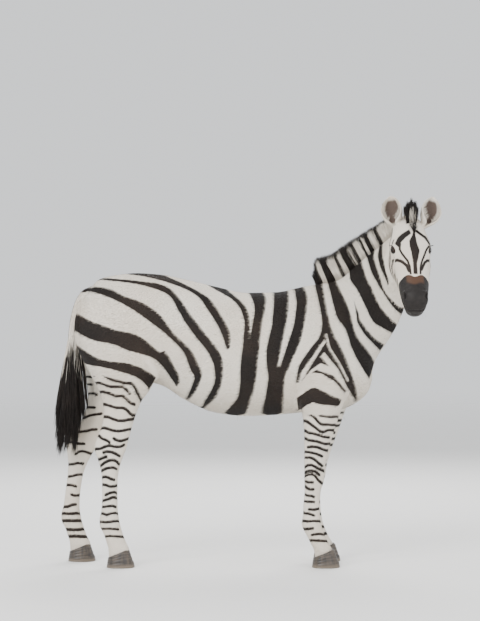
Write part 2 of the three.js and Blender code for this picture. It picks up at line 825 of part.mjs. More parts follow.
for (const [name, side] of SIDES) {
  const fore = foreLeg(side, LEG_FOOT_Z, FORE_CUT_Z + CUT_LAP, 22);
  const hind = hindLeg(side, LEG_FOOT_Z, HIND_CUT_Z + CUT_LAP, 24);
  const legs = [
    ["fore", fore, FORE_CUT, FORE_HOOF_X + (side > 0 ? FORE_STEP : 0)],
    ["hind", hind, HIND_CUT, HIND_HOOF_X + (side > 0 ? HIND_STEP : 0)],
  ];
  for (const [end, leg, cut, hoofX] of legs) {
    const band = coronet(hoofX);
    keep(`${end}leg_${name}`, beyond(beyond(leg, flipped(cut)), band));
    keep(`hoof_${end}_${name}`, beyond(hoofSolid(hoofX, FOOT_Y * side), flipped(band)), HORN);
  }
}

const body = joined(trunkSolid(), neckSolid());
const skull = headSolid();

keep("torso", beyond(body, flipped(NECK_CUT)));
const neckBare = beyond(joined(body, skull), NECK_CUT);
const maned = joined(neckBare, ...maneLocks());
keep("neck", beyond(beyond(maned, NECK_CUT), flipped(HEAD_CUT)));
keep("tail", joined(dockSolid(), ...tailLocks()).subtract(trunkSolid(GAP)));

let head = beyond(joined(skull, beyond(body, NECK_CUT)), HEAD_CUT);
head = head.subtract(mouthSlit());
for (const [name, side] of SIDES) {
  const lids = eyeBall(side, EYE_R + LID_THICK, -EYE_R);
  head = head
    .add(lids)
    .subtract(lidOpening(side))
    .subtract(eyeBall(side, EYE_R + GAP, -2 - GAP))
    .subtract(nostril(side));
  keep(`eye_${name}`, eyeBall(side, EYE_R, -2), EYE);
  keep(`ear_${name}`, earSolid(side).subtract(headSolid(GAP)));
}
keep("head", beyond(joined(head, ...forelockLocks()), HEAD_CUT));

const part = new THREE.Group();
for (const [name, { solid, look }] of nodes) {
  const mesh = new THREE.Mesh(geometryOf(solid), new THREE.MeshStandardMaterial(look));
  mesh.name = name;
  part.add(mesh);
}

// The origin is the middle of the floor that the animal covers.
const covered = new THREE.Box3().setFromObject(part).getCenter(new THREE.Vector3());
part.position.set(-covered.x, -covered.y, 0);

export default part;
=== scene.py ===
"""A plains zebra as a still, life-size model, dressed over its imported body.

One striped skin takes the place of the nodes of flesh. Over it lie the short coat, the mane, the forelock
and the switch of the tail. The eyes, their lashes, the whiskers and the hooves are pieces of their own.
Shapes are worked out in millimetres in the animal's own frame, which part.mjs describes: +X is the way the
body faces, +Y its left side and z = 0 the floor. placed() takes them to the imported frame, in metres.
"""
import math

import bpy
import numpy as np
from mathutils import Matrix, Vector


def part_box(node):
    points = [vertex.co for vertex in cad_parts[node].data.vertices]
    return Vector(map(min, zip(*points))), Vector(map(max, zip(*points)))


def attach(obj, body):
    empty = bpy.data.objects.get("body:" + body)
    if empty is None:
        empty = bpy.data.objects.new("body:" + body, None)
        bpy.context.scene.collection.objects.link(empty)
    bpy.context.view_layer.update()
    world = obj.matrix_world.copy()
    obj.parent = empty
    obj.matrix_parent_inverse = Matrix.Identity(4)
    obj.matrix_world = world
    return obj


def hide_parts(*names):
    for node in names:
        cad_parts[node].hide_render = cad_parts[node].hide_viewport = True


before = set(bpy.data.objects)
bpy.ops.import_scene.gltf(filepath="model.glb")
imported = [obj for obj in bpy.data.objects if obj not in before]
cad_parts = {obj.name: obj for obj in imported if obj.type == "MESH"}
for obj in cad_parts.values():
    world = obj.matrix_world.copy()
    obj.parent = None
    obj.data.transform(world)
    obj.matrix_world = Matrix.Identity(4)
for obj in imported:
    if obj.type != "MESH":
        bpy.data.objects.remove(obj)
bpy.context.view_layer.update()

import openvdb as vdb
from mathutils import Vector

# ---- sizes shared with the solids ----------------------------------------------------------------
MM = 0.001
FOOT_Y = 122.0
FORE_STEP = 14.0
FOREARM_STEP = 28.0
HIND_STEP = -196.0
FETLOCK_Z = 60.0
HIP_Z = 1080.0
SHOULDER_Z = 1060.0
FORE_HOOF_X = 440.0
HIND_HOOF_X = -499.0
TOE = 128.0
POLL = np.array([872.0, -196.0, 1546.0])
HEAD_PITCH = math.radians(47)
HEAD_TURN = math.radians(88)
EYE_R = 21.5
EYE_ALONG, EYE_ACROSS, EYE_UP = 163.0, 66.0, 35.0
LID_THICK = 4.5
EAR_LONG, EAR_WIDE = 135.0, 96.0
EAR_LEAN, EAR_SWING = 0.21, 0.08
MANE_TALL = 142.0
COAT_DEPTH = 3.0  # the skin lies this far inside the solids

toe_low, toe_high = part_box("hoof_fore_right")
SHIFT = np.array(
    [toe_high.x / MM - FORE_HOOF_X - TOE, (toe_low.y + toe_high.y) / 2 / MM + FOOT_Y, 0.0]
)


def placed(points):
    """Millimetres in the animal's own frame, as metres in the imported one."""
    return (points + SHIFT) * MM


# ---- camera --------------------------------------------------------------------------------------
PHOTO_WIDE, PHOTO_TALL = 480, 621
CAMERA_AT = np.array([111.2, -9500.0, 1175.0])
CAMERA_LENS, CAMERA_SENSOR = 118.8, 36.0


def photo_point(points):
    """Where points fall in the photograph, in its pixels from the top left."""
    away = points - CAMERA_AT
    scale = CAMERA_LENS / CAMERA_SENSOR * PHOTO_TALL / away[:, 1]
    return np.stack([PHOTO_WIDE / 2 + away[:, 0] * scale, PHOTO_TALL / 2 - away[:, 2] * scale], -1)


def make_camera():
    data = bpy.data.cameras.new("camera")
    data.lens = CAMERA_LENS
    data.sensor_width = CAMERA_SENSOR
    data.clip_end = 200
    camera = add_object("camera", data)
    camera.location = placed(CAMERA_AT)
    camera.rotation_euler = (math.radians(90), 0, 0)
    bpy.context.scene.camera = camera


# ---- curves, rings and surfaces ------------------------------------------------------------------
def ease(t):
    t = np.clip(t, 0, 1)
    return t * t * (3 - 2 * t)


def unit(v):
    return v / np.maximum(np.linalg.norm(v, axis=-1, keepdims=True), 1e-9)


def bell(x, reach):
    """1 where x is zero, falling to nothing over its reach."""
    return np.exp(-((x / reach) ** 2))


def mixed(a, b, share):
    """Vectors on their way from a to b, each by its own share."""
    share = np.reshape(share, (-1, 1))
    return a * (1 - share) + b * share


def add_object(name, data):
    made = bpy.data.objects.new(name, data)
    bpy.context.scene.collection.objects.link(made)
    return made


def smooth_rows(rows):
    """Rows of numbers, each starting with its place, as a smooth function of it that never overshoots."""
    table = np.array(rows, float)
    at, values = table[:, 0], table[:, 1:]
    slope = np.diff(values, axis=0) / np.diff(at)[:, None]
    tangent = np.zeros_like(values)
    tangent[0], tangent[-1] = slope[0], slope[-1]
    before, after = slope[:-1], slope[1:]
    alike = before * after > 0
    tangent[1:-1] = np.where(alike, 2 * before * after / np.where(alike, before + after, 1), 0)

    def row(place):
        x = np.clip(np.asarray(place, float), at[0], at[-1])
        i = np.clip(np.searchsorted(at, x, side="right") - 1, 0, len(at) - 2)
        span = (at[i + 1] - at[i])[..., None]
        t = (x - at[i])[..., None] / span
        rise = (2 * t - 3) * t * t
        bend = (1 - t) * tangent[i] - t * tangent[i + 1]
        return values[i] * (1 + rise) - values[i + 1] * rise + span * t * (1 - t) * bend

    return row


def lifted(bumps, p):
    """How far muscles and hollows lift a surface at p: each bump is centre, reach and lift."""
    total = np.zeros(p.shape[:-1])
    for centre, reach, lift in bumps:
        q = np.stack([p[..., 0], np.abs(p[..., 1]), p[..., 2]], -1)
        total += lift * np.exp(-(((q - centre) / np.array(reach)) ** 2).sum(-1))
    return total


def ring_angles(sides):
    angle = 2 * np.pi * np.arange(sides) / sides
    return np.sin(angle), np.cos(angle)


def rings_round(table, bumps, stations, sides, grow):
    """Rings round a body at stations along it, as along, across and up."""
    rows = smooth_rows(table)(stations)
    top, bottom, half, mid, square_top, square_bottom = rows.T[..., None]
    s, c = ring_angles(sides)
    power = 2 / np.where(c >= 0, square_top, square_bottom)
    tall = np.where(c >= 0, top - mid, mid - bottom)
    across = half * np.sign(s) * np.abs(s) ** power
    up = mid + tall * np.sign(c) * np.abs(c) ** power
    out = unit(np.stack([across / half**2, (up - mid) / tall**2], -1))
    along = np.broadcast_to(stations[:, None], across.shape)
    lift = lifted(bumps, np.stack([along, across, up], -1)) + grow
    return np.stack([along, across + out[..., 0] * lift, up + out[..., 1] * lift], -1)


def facing_out(points, faces):
    """The faces of a closed surface, all turned round if they face into it."""
    p, q, r = points[faces[:, :3]].transpose(1, 0, 2)
    return faces[:, ::-1] if (np.cross(p, q) * r).sum() < 0 else faces


def across_faces(points, faces):
    """For each triangle the vector square to it, as long as twice its area."""
    p, q, r = points[faces].transpose(1, 0, 2)
    return np.cross(q - p, r - p)


def over_rings(rings):
    """The closed surface over a row of rings of points: its points and triangles, facing out."""
    count, sides = rings.shape[:2]
    grid = np.arange(count * sides).reshape(count, sides)
    turned = np.roll(grid, -1, axis=1)
    a, b, c, d = grid[:-1], turned[:-1], grid[1:], turned[1:]
    first, last = count * sides, count * sides + 1
    faces = [
        np.stack([a, b, c], -1).reshape(-1, 3),
        np.stack([b, d, c], -1).reshape(-1, 3),
        np.stack([turned[0], grid[0], np.full(sides, first)], -1),
        np.stack([grid[-1], turned[-1], np.full(sides, last)], -1),
    ]
    ends = np.stack([rings[0].mean(0), rings[-1].mean(0)])
    points = np.concatenate([rings.reshape(-1, 3), ends])
    return points, facing_out(points, np.concatenate(faces))


def together(parts):
    """Several surfaces as one: their points and their faces."""
    offsets = np.cumsum([0] + [len(points) for points, _ in parts[:-1]])
    points = np.concatenate([points for points, _ in parts])
    return points, np.concatenate([faces + first for (_, faces), first in zip(parts, offsets)])


# ---- torso ---------------------------------------------------------------------------------------
# x, back, belly, half width, height of the widest place, squareness above and below it
TORSO = [
    [-630, 1186, 1090, 40, 1140, 2, 2],
    [-616, 1228, 1030, 92, 1146, 2, 2],
    [-585, 1275, 955, 140, 1145, 2, 2],
    [-533, 1324, 895, 182, 1130, 2, 2],
    [-449, 1343, 865, 210, 1110, 2.1, 2],
    [-366, 1350, 852, 222, 1090, 2.1, 2],
    [-255, 1343, 828, 226, 1060, 2.1, 2.1],
    [-139, 1320, 757, 236, 1020, 2.1, 2.1],
    [0, 1287, 700, 246, 985, 2.1, 2.1],
    [145, 1259, 684, 246, 965, 2.1, 2.1],
    [282, 1262, 690, 232, 955, 2.1, 2.1],
    [415, 1289, 702, 196, 950, 1.8, 2.1],
    [516, 1300, 705, 176, 940, 1.7, 2.1],
    [600, 1240, 722, 158, 930, 1.9, 2.1],
    [668, 1120, 760, 130, 915, 2, 2],
    [704, 1020, 800, 94, 895, 2, 2],
    [721, 930, 848, 40, 890, 2, 2],
]
TORSO_BUMPS = [
    [[430, 150, 1180], [95, 80, 110], 12],  # shoulder blade
    [[620, 150, 930], [70, 60, 70], 16],  # point of the shoulder
    [[450, 190, 900], [80, 60, 90], 14],  # upper arm
    [[520, 130, 1080], [22, 90, 130], -5],  # the groove before the shoulder blade
    [[-300, 170, 1250], [60, 70, 60], 10],  # point of the hip
    [[-470, 190, 1120], [120, 80, 120], 14],  # haunch
    [[-205, 200, 1040], [60, 60, 110], -9],  # flank
    [[690, 52, 850], [45, 34, 60], 9],  # breast muscles
    [[725, 0, 850], [40, 18, 70], -6],
    [[330, 200, 800], [60, 70, 60], -6],  # behind the elbow
]
TORSO_RINGS, TORSO_SIDES = 61, 72


def torso_surface():
    rear, front = TORSO[0][0], TORSO[-1][0]
    stations = rear + (front - rear) * (1 - np.cos(np.pi * np.linspace(0, 1, TORSO_RINGS))) / 2
    return over_rings(rings_round(TORSO, TORSO_BUMPS, stations, TORSO_SIDES, -COAT_DEPTH))


# ---- legs ----------------------------------------------------------------------------------------
# height, back edge, front edge, middle across, half thickness, all for the right leg
FORE_LEG = [
    [40, 452, 544, 122, 36],
    [80, 447, 536, 122, 41],
    [112, 431, 518, 122, 34],
    [150, 412, 500, 122, 31],
    [180, 396, 489, 122, 36],
    [205, 391, 484, 122, 37],
    [240, 397, 479, 122, 31],
    [290, 399, 477, 122, 28],
    [345, 404, 482, 122, 32],
    [375, 404, 490, 122, 40],
    [410, 403, 496, 122, 43],
    [450, 403, 501, 122, 41],
    [514, 403, 513, 122, 45],
    [599, 403, 536, 121, 57],
    [660, 399, 556, 119, 68],
    [722, 392, 578, 116, 79],
    [800, 372, 612, 112, 88],
    [880, 352, 650, 108, 88],
    [960, 350, 640, 104, 80],
]
FORE_BUMPS = [
    [[162, 418, 412], [16, 22, 24], 4],  # bone at the back of the knee
    [[122, 494, 405], [40, 20, 30], 4],  # front of the knee
    [[122, 395, 770], [50, 30, 40], 10],  # point of the elbow
]
HIND_LEG = [
    [40, -492, -388, 122, 36],
    [80, -493, -392, 122, 41],
    [115, -502, -408, 122, 34],
    [158, -517, -424, 122, 32],
    [192, -533, -434, 122, 37],
    [220, -534, -440, 122, 37],
    [260, -525, -445, 122, 31],
    [330, -522, -447, 122, 29],
    [400, -523, -446, 122, 32],
    [455, -530, -438, 122, 38],
    [500, -543, -424, 122, 41],
    [540, -551, -408, 122, 42],
    [578, -549, -398, 122, 42],
    [622, -535, -386, 122, 46],
    [670, -522, -372, 123, 53],
    [722, -516, -354, 124, 63],
    [766, -522, -334, 125, 74],
    [811, -536, -300, 125, 85],
    [882, -574, -268, 124, 98],
    [947, -609, -256, 121, 108],
    [1012, -637, -258, 117, 113],
    [1071, -651, -272, 112, 113],
    [1124, -649, -300, 104, 108],
    [1189, -632, -340, 92, 96],
    [1250, -590, -400, 76, 72],
]
HIND_BUMPS = [
    [[122, 552, 548], [24, 26, 34], 6],  # point of the hock
    [[122, 500, 640], [60, 34, 60], -7],  # the hollow before the tendon
]
FORE_TENDON = [[[122, 424, 290], [30, 9, 90], -3.5], [[122, 446, 290], [60, 9, 90], -2.5]]
HIND_TENDON = [[[122, 498, 350], [40, 10, 110], -3.5]]
LEG_RINGS, LEG_SIDES = 90, 40
LEG_FROM = 40  # the legs start here, under the coronet
FORE_TOP, HIND_TOP = 940, 1236  # and end here, inside the trunk


def swung(z, pivot):
    """From 0 at the pivot that a leg swings from to 1 at its foot."""
    return ease((pivot - z) / (pivot - FETLOCK_Z) / 0.86) ** 0.7


def fore_shift(z):
    """How far forward the left fore leg is at a height: its forearm more than its foot."""
    forearm = ease((z - 330) / 350) * (1 - 0.5 * ease((z - 720) / 240))
    return FORE_STEP * swung(z, SHOULDER_Z) + FOREARM_STEP * forearm


def hind_shift(z):
    return HIND_STEP * swung(z, HIP_Z)


def leg_surface(table, bumps, side, shift_at, top):
    heights = np.linspace(LEG_FROM, top, LEG_RINGS)
    back, front, across, half = smooth_rows(table)(heights).T[..., None]
    s, c = ring_angles(LEG_SIDES)
    x = (back + front) / 2 + (front - back) / 2 * c
    y = across + half * s
    z = np.broadcast_to(heights[:, None], x.shape)
    lift = lifted(bumps, np.stack([y, x, z], -1)) - COAT_DEPTH
    shift = shift_at(heights)[:, None] * (side > 0)
    return over_rings(np.stack([x + shift + lift * c, side * (y + lift * s), z], -1))


SIDES = {"left": 1, "right": -1}


def leg_surfaces():
    made = []
    for side in SIDES.values():
        made.append(leg_surface(FORE_LEG, FORE_BUMPS + FORE_TENDON, side, fore_shift, FORE_TOP))
        made.append(leg_surface(HIND_LEG, HIND_BUMPS + HIND_TENDON, side, hind_shift, HIND_TOP))
    return together(made)


# ---- neck ----------------------------------------------------------------------------------------
# place along it, crest x y z, throat x y z, half width
NECK = [
    [0, 400, 0, 1262, 560, 0, 760, 118],
    [0.14, 505, 0, 1300, 700, 0, 880, 138],
    [0.28, 575, -8, 1325, 760, -15, 980, 118],
    [0.42, 632, -24, 1374, 802, -35, 1045, 100],
    [0.56, 690, -48, 1424, 838, -62, 1115, 88],
    [0.7, 748, -80, 1470, 866, -92, 1195, 80],
    [0.82, 796, -108, 1512, 882, -118, 1290, 75],
    [0.92, 836, -134, 1546, 887, -138, 1385, 70],
    [1, 864, -152, 1568, 888, -150, 1432, 62],
]
NECK_RINGS, NECK_SIDES = 50, 64
neck_row = smooth_rows(NECK)


def crest(t):
    return neck_row(t)[..., :3]


def neck_frame(t):
    """The neck's middle at places along it, up to the crest, left across it and on towards the head."""
    t = np.asarray(t, float)

    def centre(at):
        row = neck_row(np.clip(at, 0, 1))
        return (row[..., :3] + row[..., 3:6]) / 2

    row = neck_row(t)
    up = (row[..., :3] - row[..., 3:6]) / 2
    on = unit(centre(t + 0.03) - centre(t - 0.03))
    return centre(t), up, unit(np.cross(up, on)), on


def neck_surface():
    t = np.linspace(0, 1, NECK_RINGS)
    centre, up, left, _ = neck_frame(t)
    half = neck_row(t)[:, 6:7]
    s, c = ring_angles(NECK_SIDES)
    narrow = 1 - 0.32 * ease(c) ** 2 - 0.12 * ease(-c)
    tall = 1 - COAT_DEPTH / np.linalg.norm(up, axis=-1)
    rings = (
        centre[:, None]
        + up[:, None] * (tall[:, None] * c)[..., None]
        + left[:, None] * ((half - COAT_DEPTH) * s * narrow)[..., None]
    )
    return over_rings(rings)


# ---- head ----------------------------------------------------------------------------------------
AHEAD = np.array([math.cos(HEAD_TURN), -math.sin(HEAD_TURN), 0])
UPRIGHT = np.array([0.0, 0, 1])
ALONG = AHEAD * math.cos(HEAD_PITCH) - UPRIGHT * math.sin(HEAD_PITCH)
LEFT = np.cross(UPRIGHT, AHEAD)
RISE = np.cross(ALONG, LEFT)
HEAD_AXES = np.stack([ALONG, LEFT, RISE])


def head_way(along, across, up):
    return np.array([along, across, up], float) @ HEAD_AXES


def head_point(along, across, up):
    return head_way(along, across, up) + POLL


def in_head(points):
    """Points as along the face from the poll, across to the head's left and up out of the face."""
    return (points - POLL) @ HEAD_AXES.T


# along, top of the face, underside, half width, height of the widest place, squareness above and below it
HEAD = [
    [-64, 12, -34, 30, -8, 2, 2],
    [-56, 28, -52, 48, -8, 2, 2],
    [-36, 46, -72, 62, -5, 2.1, 2],
    [0, 62, -100, 72, 0, 2.2, 2],
    [40, 72, -130, 78, 4, 2.3, 2.2],
    [80, 78, -158, 83, 8, 2.4, 2.5],
    [120, 82, -176, 87, 12, 2.4, 2.8],
    [163, 82, -177, 89, 14, 2.4, 2.8],
    [200, 78, -164, 87, 12, 2.2, 2.6],
    [240, 72, -144, 83, 6, 2, 2.3],
    [290, 64, -120, 77, 0, 1.9, 2.2],
    [340, 55, -101, 71, -6, 1.9, 2.2],
    [380, 48, -93, 66, -10, 2, 2.2],
    [415, 43, -91, 60, -12, 2.1, 2.2],
    [440, 37, -92, 54, -15, 2.1, 2.1],
    [458, 26, -89, 48, -20, 2.1, 2.1],
    [472, 9, -80, 40, -28, 2, 2],
    [480, -14, -64, 24, -38, 2, 2],
]
HEAD_BUMPS = [
    [[150, 72, 62], [34, 22, 22], 9],  # brow over the eye
    [[105, 60, 66], [30, 22, 22], -8],  # the hollow behind the brow
    [[118, 88, 14], [44, 16, 16], 7],  # cheek arch
    [[205, 84, 20], [22, 22, 18], -7],  # before the eye
    [[238, 78, -14], [60, 18, 12], 5],  # ridge of the cheek
    [[300, 68, -34], [70, 20, 26], -5],  # hollow of the cheek
    [[132, 80, -94], [60, 28, 56], 10],  # chewing muscle
    [[54, 74, -76], [26, 26, 64], -7],  # behind the jaw
    [[300, 20, 64], [120, 16, 16], 3],  # bones of the nose
    [[426, 50, 28], [18, 16, 14], 8],  # wing of the nostril
    [[446, 40, -4], [22, 20, 14], 6],  # upper lip
    [[452, 0, 0], [26, 12, 22], -4],
    [[448, 24, -76], [22, 26, 18], 5],  # chin
    [[404, 40, -92], [16, 30, 18], -6],  # behind the chin
]
FACE_FOLDS = [
    [[216, 70, 44], [40, 6, 26], -2.2],  # vein and fold before the eye
    [[262, 50, 54], [60, 9, 14], -2.4],  # hollow beside the bones of the nose
    [[392, 58, -22], [8, 30, 16], -2.6],  # creases at the corner of the mouth
    [[378, 58, -36], [6, 30, 16], -2.0],
    [[412, 40, 34], [10, 20, 14], -3.0],  # behind the nostril
]
LIPS_FROM = 400  # the rings lie closer together from here on
FACE_RINGS, LIP_RINGS, HEAD_SIDES = 80, 30, 72


def head_surface():
    face = np.linspace(HEAD[0][0], LIPS_FROM, FACE_RINGS)
    lips = np.linspace(LIPS_FROM, HEAD[-1][0], LIP_RINGS)
    stations = np.concatenate([face, lips[1:]])
    rings = rings_round(HEAD, HEAD_BUMPS + FACE_FOLDS, stations, HEAD_SIDES, -COAT_DEPTH * 0.6)
    points, faces = over_rings(rings)
    return points @ HEAD_AXES + POLL, faces


# ---- ears ----------------------------------------------------------------------------------------
# height, half width, how far round the cup reaches on each side
EAR = [
    [-0.16, 0.08, 170],
    [0, 0.22, 168],
    [0.14, 0.36, 150],
    [0.3, 0.46, 122],
    [0.48, 0.5, 104],
    [0.66, 0.46, 90],
    [0.82, 0.34, 76],
    [0.94, 0.17, 66],
    [1, 0.05, 60],
]
EAR_THICK = 7.0
EAR_BASE = EAR[0][0]
EAR_RINGS, EAR_SIDES = 44, 27
EAR_HOLLOW = 7.2  # how far the tip of an ear curves back


def ear_axes(side):
    rise = unit(np.array([EAR_LEAN * side + EAR_SWING, 0.02, 0.98]))
    mouth = np.array([0.24 * side, -0.97, 0.06])
    mouth = unit(mouth - rise * (mouth @ rise))
    return rise, mouth, np.cross(mouth, rise)


def ear_root(side):
    return head_point(0, 71 * side + 9, 22)


def ear_cup(side, t):
    """The cup of an ear at heights on it: half its width, its reach, its radius and its middle."""
    rise, mouth, _ = ear_axes(side)
    wide, reach = smooth_rows(EAR)(t).T
    half, turn = EAR_WIDE * wide, np.radians(reach)
    radius = half / np.sin(np.minimum(turn, np.pi / 2))
    middle = ear_root(side) + np.outer(EAR_LONG * t, rise)
    middle = middle + np.outer(radius * 0.55 - EAR_HOLLOW * t**2, mouth)
    return half[:, None], turn[:, None], radius[:, None], middle


def ear_surface(side):
    _, mouth, across = ear_axes(side)
    t = np.linspace(EAR_BASE, 1, EAR_RINGS)
    half, turn, radius, middle = ear_cup(side, t)
    thick = np.minimum(EAR_THICK, half * 0.6) * np.where(t < 0.1, 1 + 3 * (0.1 - t), 1)[:, None]
    sweep = np.linspace(-1, 1, EAR_SIDES)
    middle = middle - np.outer(16 * side * ease((0.14 - t) / 0.3), LEFT)

    def arc(r, at):
        back, aside = r * np.cos(turn * at), r * np.sin(turn * at)
        return middle[:, None] - mouth * back[..., None] + across * aside[..., None]

    thinner = thick * (1 - 0.25 * np.abs(sweep) ** 8)
    rings = np.concatenate([arc(radius, sweep), arc(radius - thinner[:, ::-1], sweep[::-1])], axis=1)
    return over_rings(rings)


# ---- tail ----------------------------------------------------------------------------------------
# place along it, x, z, half thickness across, half thickness fore and aft
DOCK = [
    [0, -560, 1262, 36, 30],
    [0.1, -596, 1250, 35, 30],
    [0.2, -626, 1214, 31, 28],
    [0.35, -650, 1146, 27, 25],
    [0.5, -664, 1075, 23, 22],
    [0.65, -671, 1005, 19, 18],
    [0.8, -672, 935, 15, 14],
    [0.93, -670, 880, 11, 10],
    [1, -669, 856, 6, 6],
]
DOCK_RINGS, DOCK_SIDES = 40, 28
dock_row = smooth_rows(DOCK)


def dock_point(t):
    row = dock_row(np.clip(t, 0, 1))
    return np.stack([row[..., 0], np.zeros(row.shape[:-1]), row[..., 1]], -1)


def dock_surface():
    t = np.linspace(0, 1, DOCK_RINGS)
    on = unit(dock_point(t + 0.02) - dock_point(t - 0.02))
    aft = np.stack([on[:, 2], np.zeros(len(t)), -on[:, 0]], -1)
    across, fore = dock_row(t)[:, 2:3] - COAT_DEPTH, dock_row(t)[:, 3:4] - COAT_DEPTH
    s, c = ring_angles(DOCK_SIDES)
    rings = dock_point(t)[:, None] + aft[:, None] * (fore * c)[..., None]
    rings = rings + np.array([0, 1.0, 0]) * (across * s)[..., None]
    return over_rings(rings)


# ---- skin ----------------------------------------------------------------------------------------
# The skin is meshed in a space where the head is enlarged, so that its mesh is finer there.
VOXEL = 8.5
GAIN = 2.9
EVEN = 345.0  # as far as this from the middle of the head everything is enlarged alike
LENS = head_point(190, 0, -20)
BAND = 7  # voxels of distance that are kept on each side of a surface


def enlarged(points):
    away = points - LENS
    far = np.linalg.norm(away, axis=-1, keepdims=True)
    return LENS + away * np.where(far < EVEN, GAIN, 1 + (GAIN - 1) * EVEN / np.maximum(far, 1))


def reduced(points):
    away = points - LENS
    far = np.linalg.norm(away, axis=-1, keepdims=True)
    beyond = far / np.maximum(far - (GAIN - 1) * EVEN, 1)
    return LENS + away / np.where(far < EVEN * GAIN, GAIN, beyond)


def field_of(surface, low, shape):
    """Distances to a closed surface on the whole grid of voxels, in enlarged millimetres."""
    points, faces = surface
    transform = vdb.createLinearTransform(voxelSize=VOXEL)
    grid = vdb.FloatGrid.createLevelSetFromPolygons(
        enlarged(points).astype(np.float32),
        triangles=faces.astype(np.uint32),
        transform=transform,
        halfWidth=BAND,
    )
    values = np.empty(shape, np.float32)
    grid.copyToArray(values, ijk=tuple(int(i) for i in low))
    return values


def joined_softly(a, b, soft):
    """The union of two fields, with the crease between them filled over soft enlarged millimetres."""
    mix = np.clip(0.5 + 0.5 * (b - a) / soft, 0, 1)
    return b + (a - b) * mix - soft * mix * (1 - mix)


def cut_softly(a, b, soft):
    return -joined_softly(-a, b, soft)


def voxels_near(shape, low, middle, reach):
    """The voxels within reach of a point of the head, along each axis, and their places."""
    centre = enlarged(middle) / VOXEL - low
    first = np.maximum(np.floor(centre - reach * GAIN / VOXEL), 0).astype(int)
    last = np.minimum(np.ceil(centre + reach * GAIN / VOXEL), shape).astype(int)
    part = tuple(slice(a, b) for a, b in zip(first, last))
    index = np.meshgrid(*(np.arange(a, b) for a, b in zip(first, last)), indexing="ij")
    return part, reduced((np.stack(index, -1) + low) * VOXEL)


def gaze(side):
    return unit(head_way(0.42, 0.86 * side, 0.22))


def eye_axes(side):
    """Along the slit between the lids, up across it and out of the head."""
    out = gaze(side)
    slope = head_way(0.96, 0, 0.25)
    corners = unit(slope - out * (slope @ out))
    up = np.cross(corners, out) * side
    return corners, up * np.sign(up @ RISE), out


def eye_middle(side):
    return head_point(EYE_ALONG, EYE_ACROSS * side, EYE_UP)


def in_eye(points, side):
    """Points from the eye's middle: along the slit, up across it, out of the head, and in all."""
    q = points - eye_middle(side)
    corners, up, out = eye_axes(side)
    return q @ corners, q @ up, q @ out, np.linalg.norm(q, axis=-1)


UPPER_LID, LOWER_LID = math.radians(41), math.radians(34)
EYE_CORNER = 27.0  # from the middle of the slit to its end
EYE_REACH = 62.0  # nothing of the lids is further than this from the middle of the eye
LID_FOLDS = [  # angle up from the gaze in degrees, reach in degrees, height in millimetres
    (64, 7, 2.6),
    (-58, 7, 1.8),
    (84, 6, 1.1),
    (-78, 6, 1.0),
]


def eye_cut(field, low, side):
    """Lids over the eye, with the slit between them, the socket behind it and the folds about it."""
    part, points = voxels_near(field.shape, low, eye_middle(side), EYE_REACH)
    a, b, o, far = in_eye(points, side)
    slant = np.degrees(np.arctan2(b, np.maximum(o - 2, 0.1)))
    inside = np.clip(1 - (a / (EYE_CORNER + 6)) ** 2, 0, 1)
    lids = far - (EYE_R + LID_THICK)
    made = joined_softly(field[part], lids * GAIN, 7 * GAIN)
    on_lid = bell(far - EYE_R - LID_THICK, 9) * (o > 0)
    fold = sum(height * bell(slant - angle, reach) for angle, reach, height in LID_FOLDS)
    made = made + fold * inside * on_lid * GAIN
    opened = np.clip(1 - (a / EYE_CORNER) ** 2, 0, 1) ** 0.75
    top = np.arctan(np.tan(UPPER_LID) * opened)
    base = np.arctan(np.tan(LOWER_LID) * opened)
    above, below = b * np.cos(top) - (o - 6) * np.sin(top), -b * np.cos(base) - (o - 6) * np.sin(base)
    slit = np.maximum(np.maximum(above, below), np.abs(a) - EYE_CORNER)
    made = cut_softly(made, slit * GAIN, 1.6 * GAIN)
    made = np.maximum(made, -(far - EYE_R - 0.4) * GAIN)
    field[part] = made.astype(np.float32)


MUZZLE_MIDDLE, MUZZLE_REACH = (430, 0, -20), 100
MOUTH_CORNER = 376.0
NOSTRIL_AT = (437, 49, 20)
NOSTRIL = (16.0, 7.5, 14.0)  # half its length, half its width and its depth


def mouth_level(along):
    return -34 + 14 * ease((along - MOUTH_CORNER) / 60) - 10 * ease((along - 440) / 45)


def muzzle_cut(field, low):
    """The nostrils and the line of the mouth."""
    part, points = voxels_near(field.shape, low, head_point(*MUZZLE_MIDDLE), MUZZLE_REACH)
    along, _, up = np.moveaxis(in_head(points), -1, 0)
    made = field[part]
    over_mouth = up - mouth_level(along)
    line = bell(over_mouth, 2.4) * ease((along - MOUTH_CORNER + 6) / 22)
    lips = bell(over_mouth - 9, 7) + bell(over_mouth + 9, 7)
    made = made + (6.0 * line - 1.6 * lips * ease((along - 400) / 30)) * GAIN
    for side in SIDES.values():
        first_axis = unit(head_way(0.78, -0.12 * side, -0.6))
        inward = head_way(-0.45, -0.8 * side, -0.4)
        inward = unit(inward - first_axis * (inward @ first_axis))
        second = np.cross(first_axis, inward)
        q = points - head_point(NOSTRIL_AT[0], NOSTRIL_AT[1] * side, NOSTRIL_AT[2])
        bent = q @ second - 0.012 * (q @ first_axis) ** 2 * side
        scaled = np.stack([q @ first_axis / NOSTRIL[0], bent / NOSTRIL[1], q @ inward / NOSTRIL[2]], -1)
        size = np.linalg.norm(scaled, axis=-1)
        made = made - 2.6 * bell(size - 1.35, 0.3) * GAIN
        made = cut_softly(made, (size - 1) * NOSTRIL[1] * GAIN, 3 * GAIN)
    field[part] = made.astype(np.float32)


JOINED_OVER = {"legs": 16, "neck": 50, "head": 54, "dock": 14}  # how widely each part blends in
EARS_JOINED_OVER = 14
SMOOTHINGS = 30


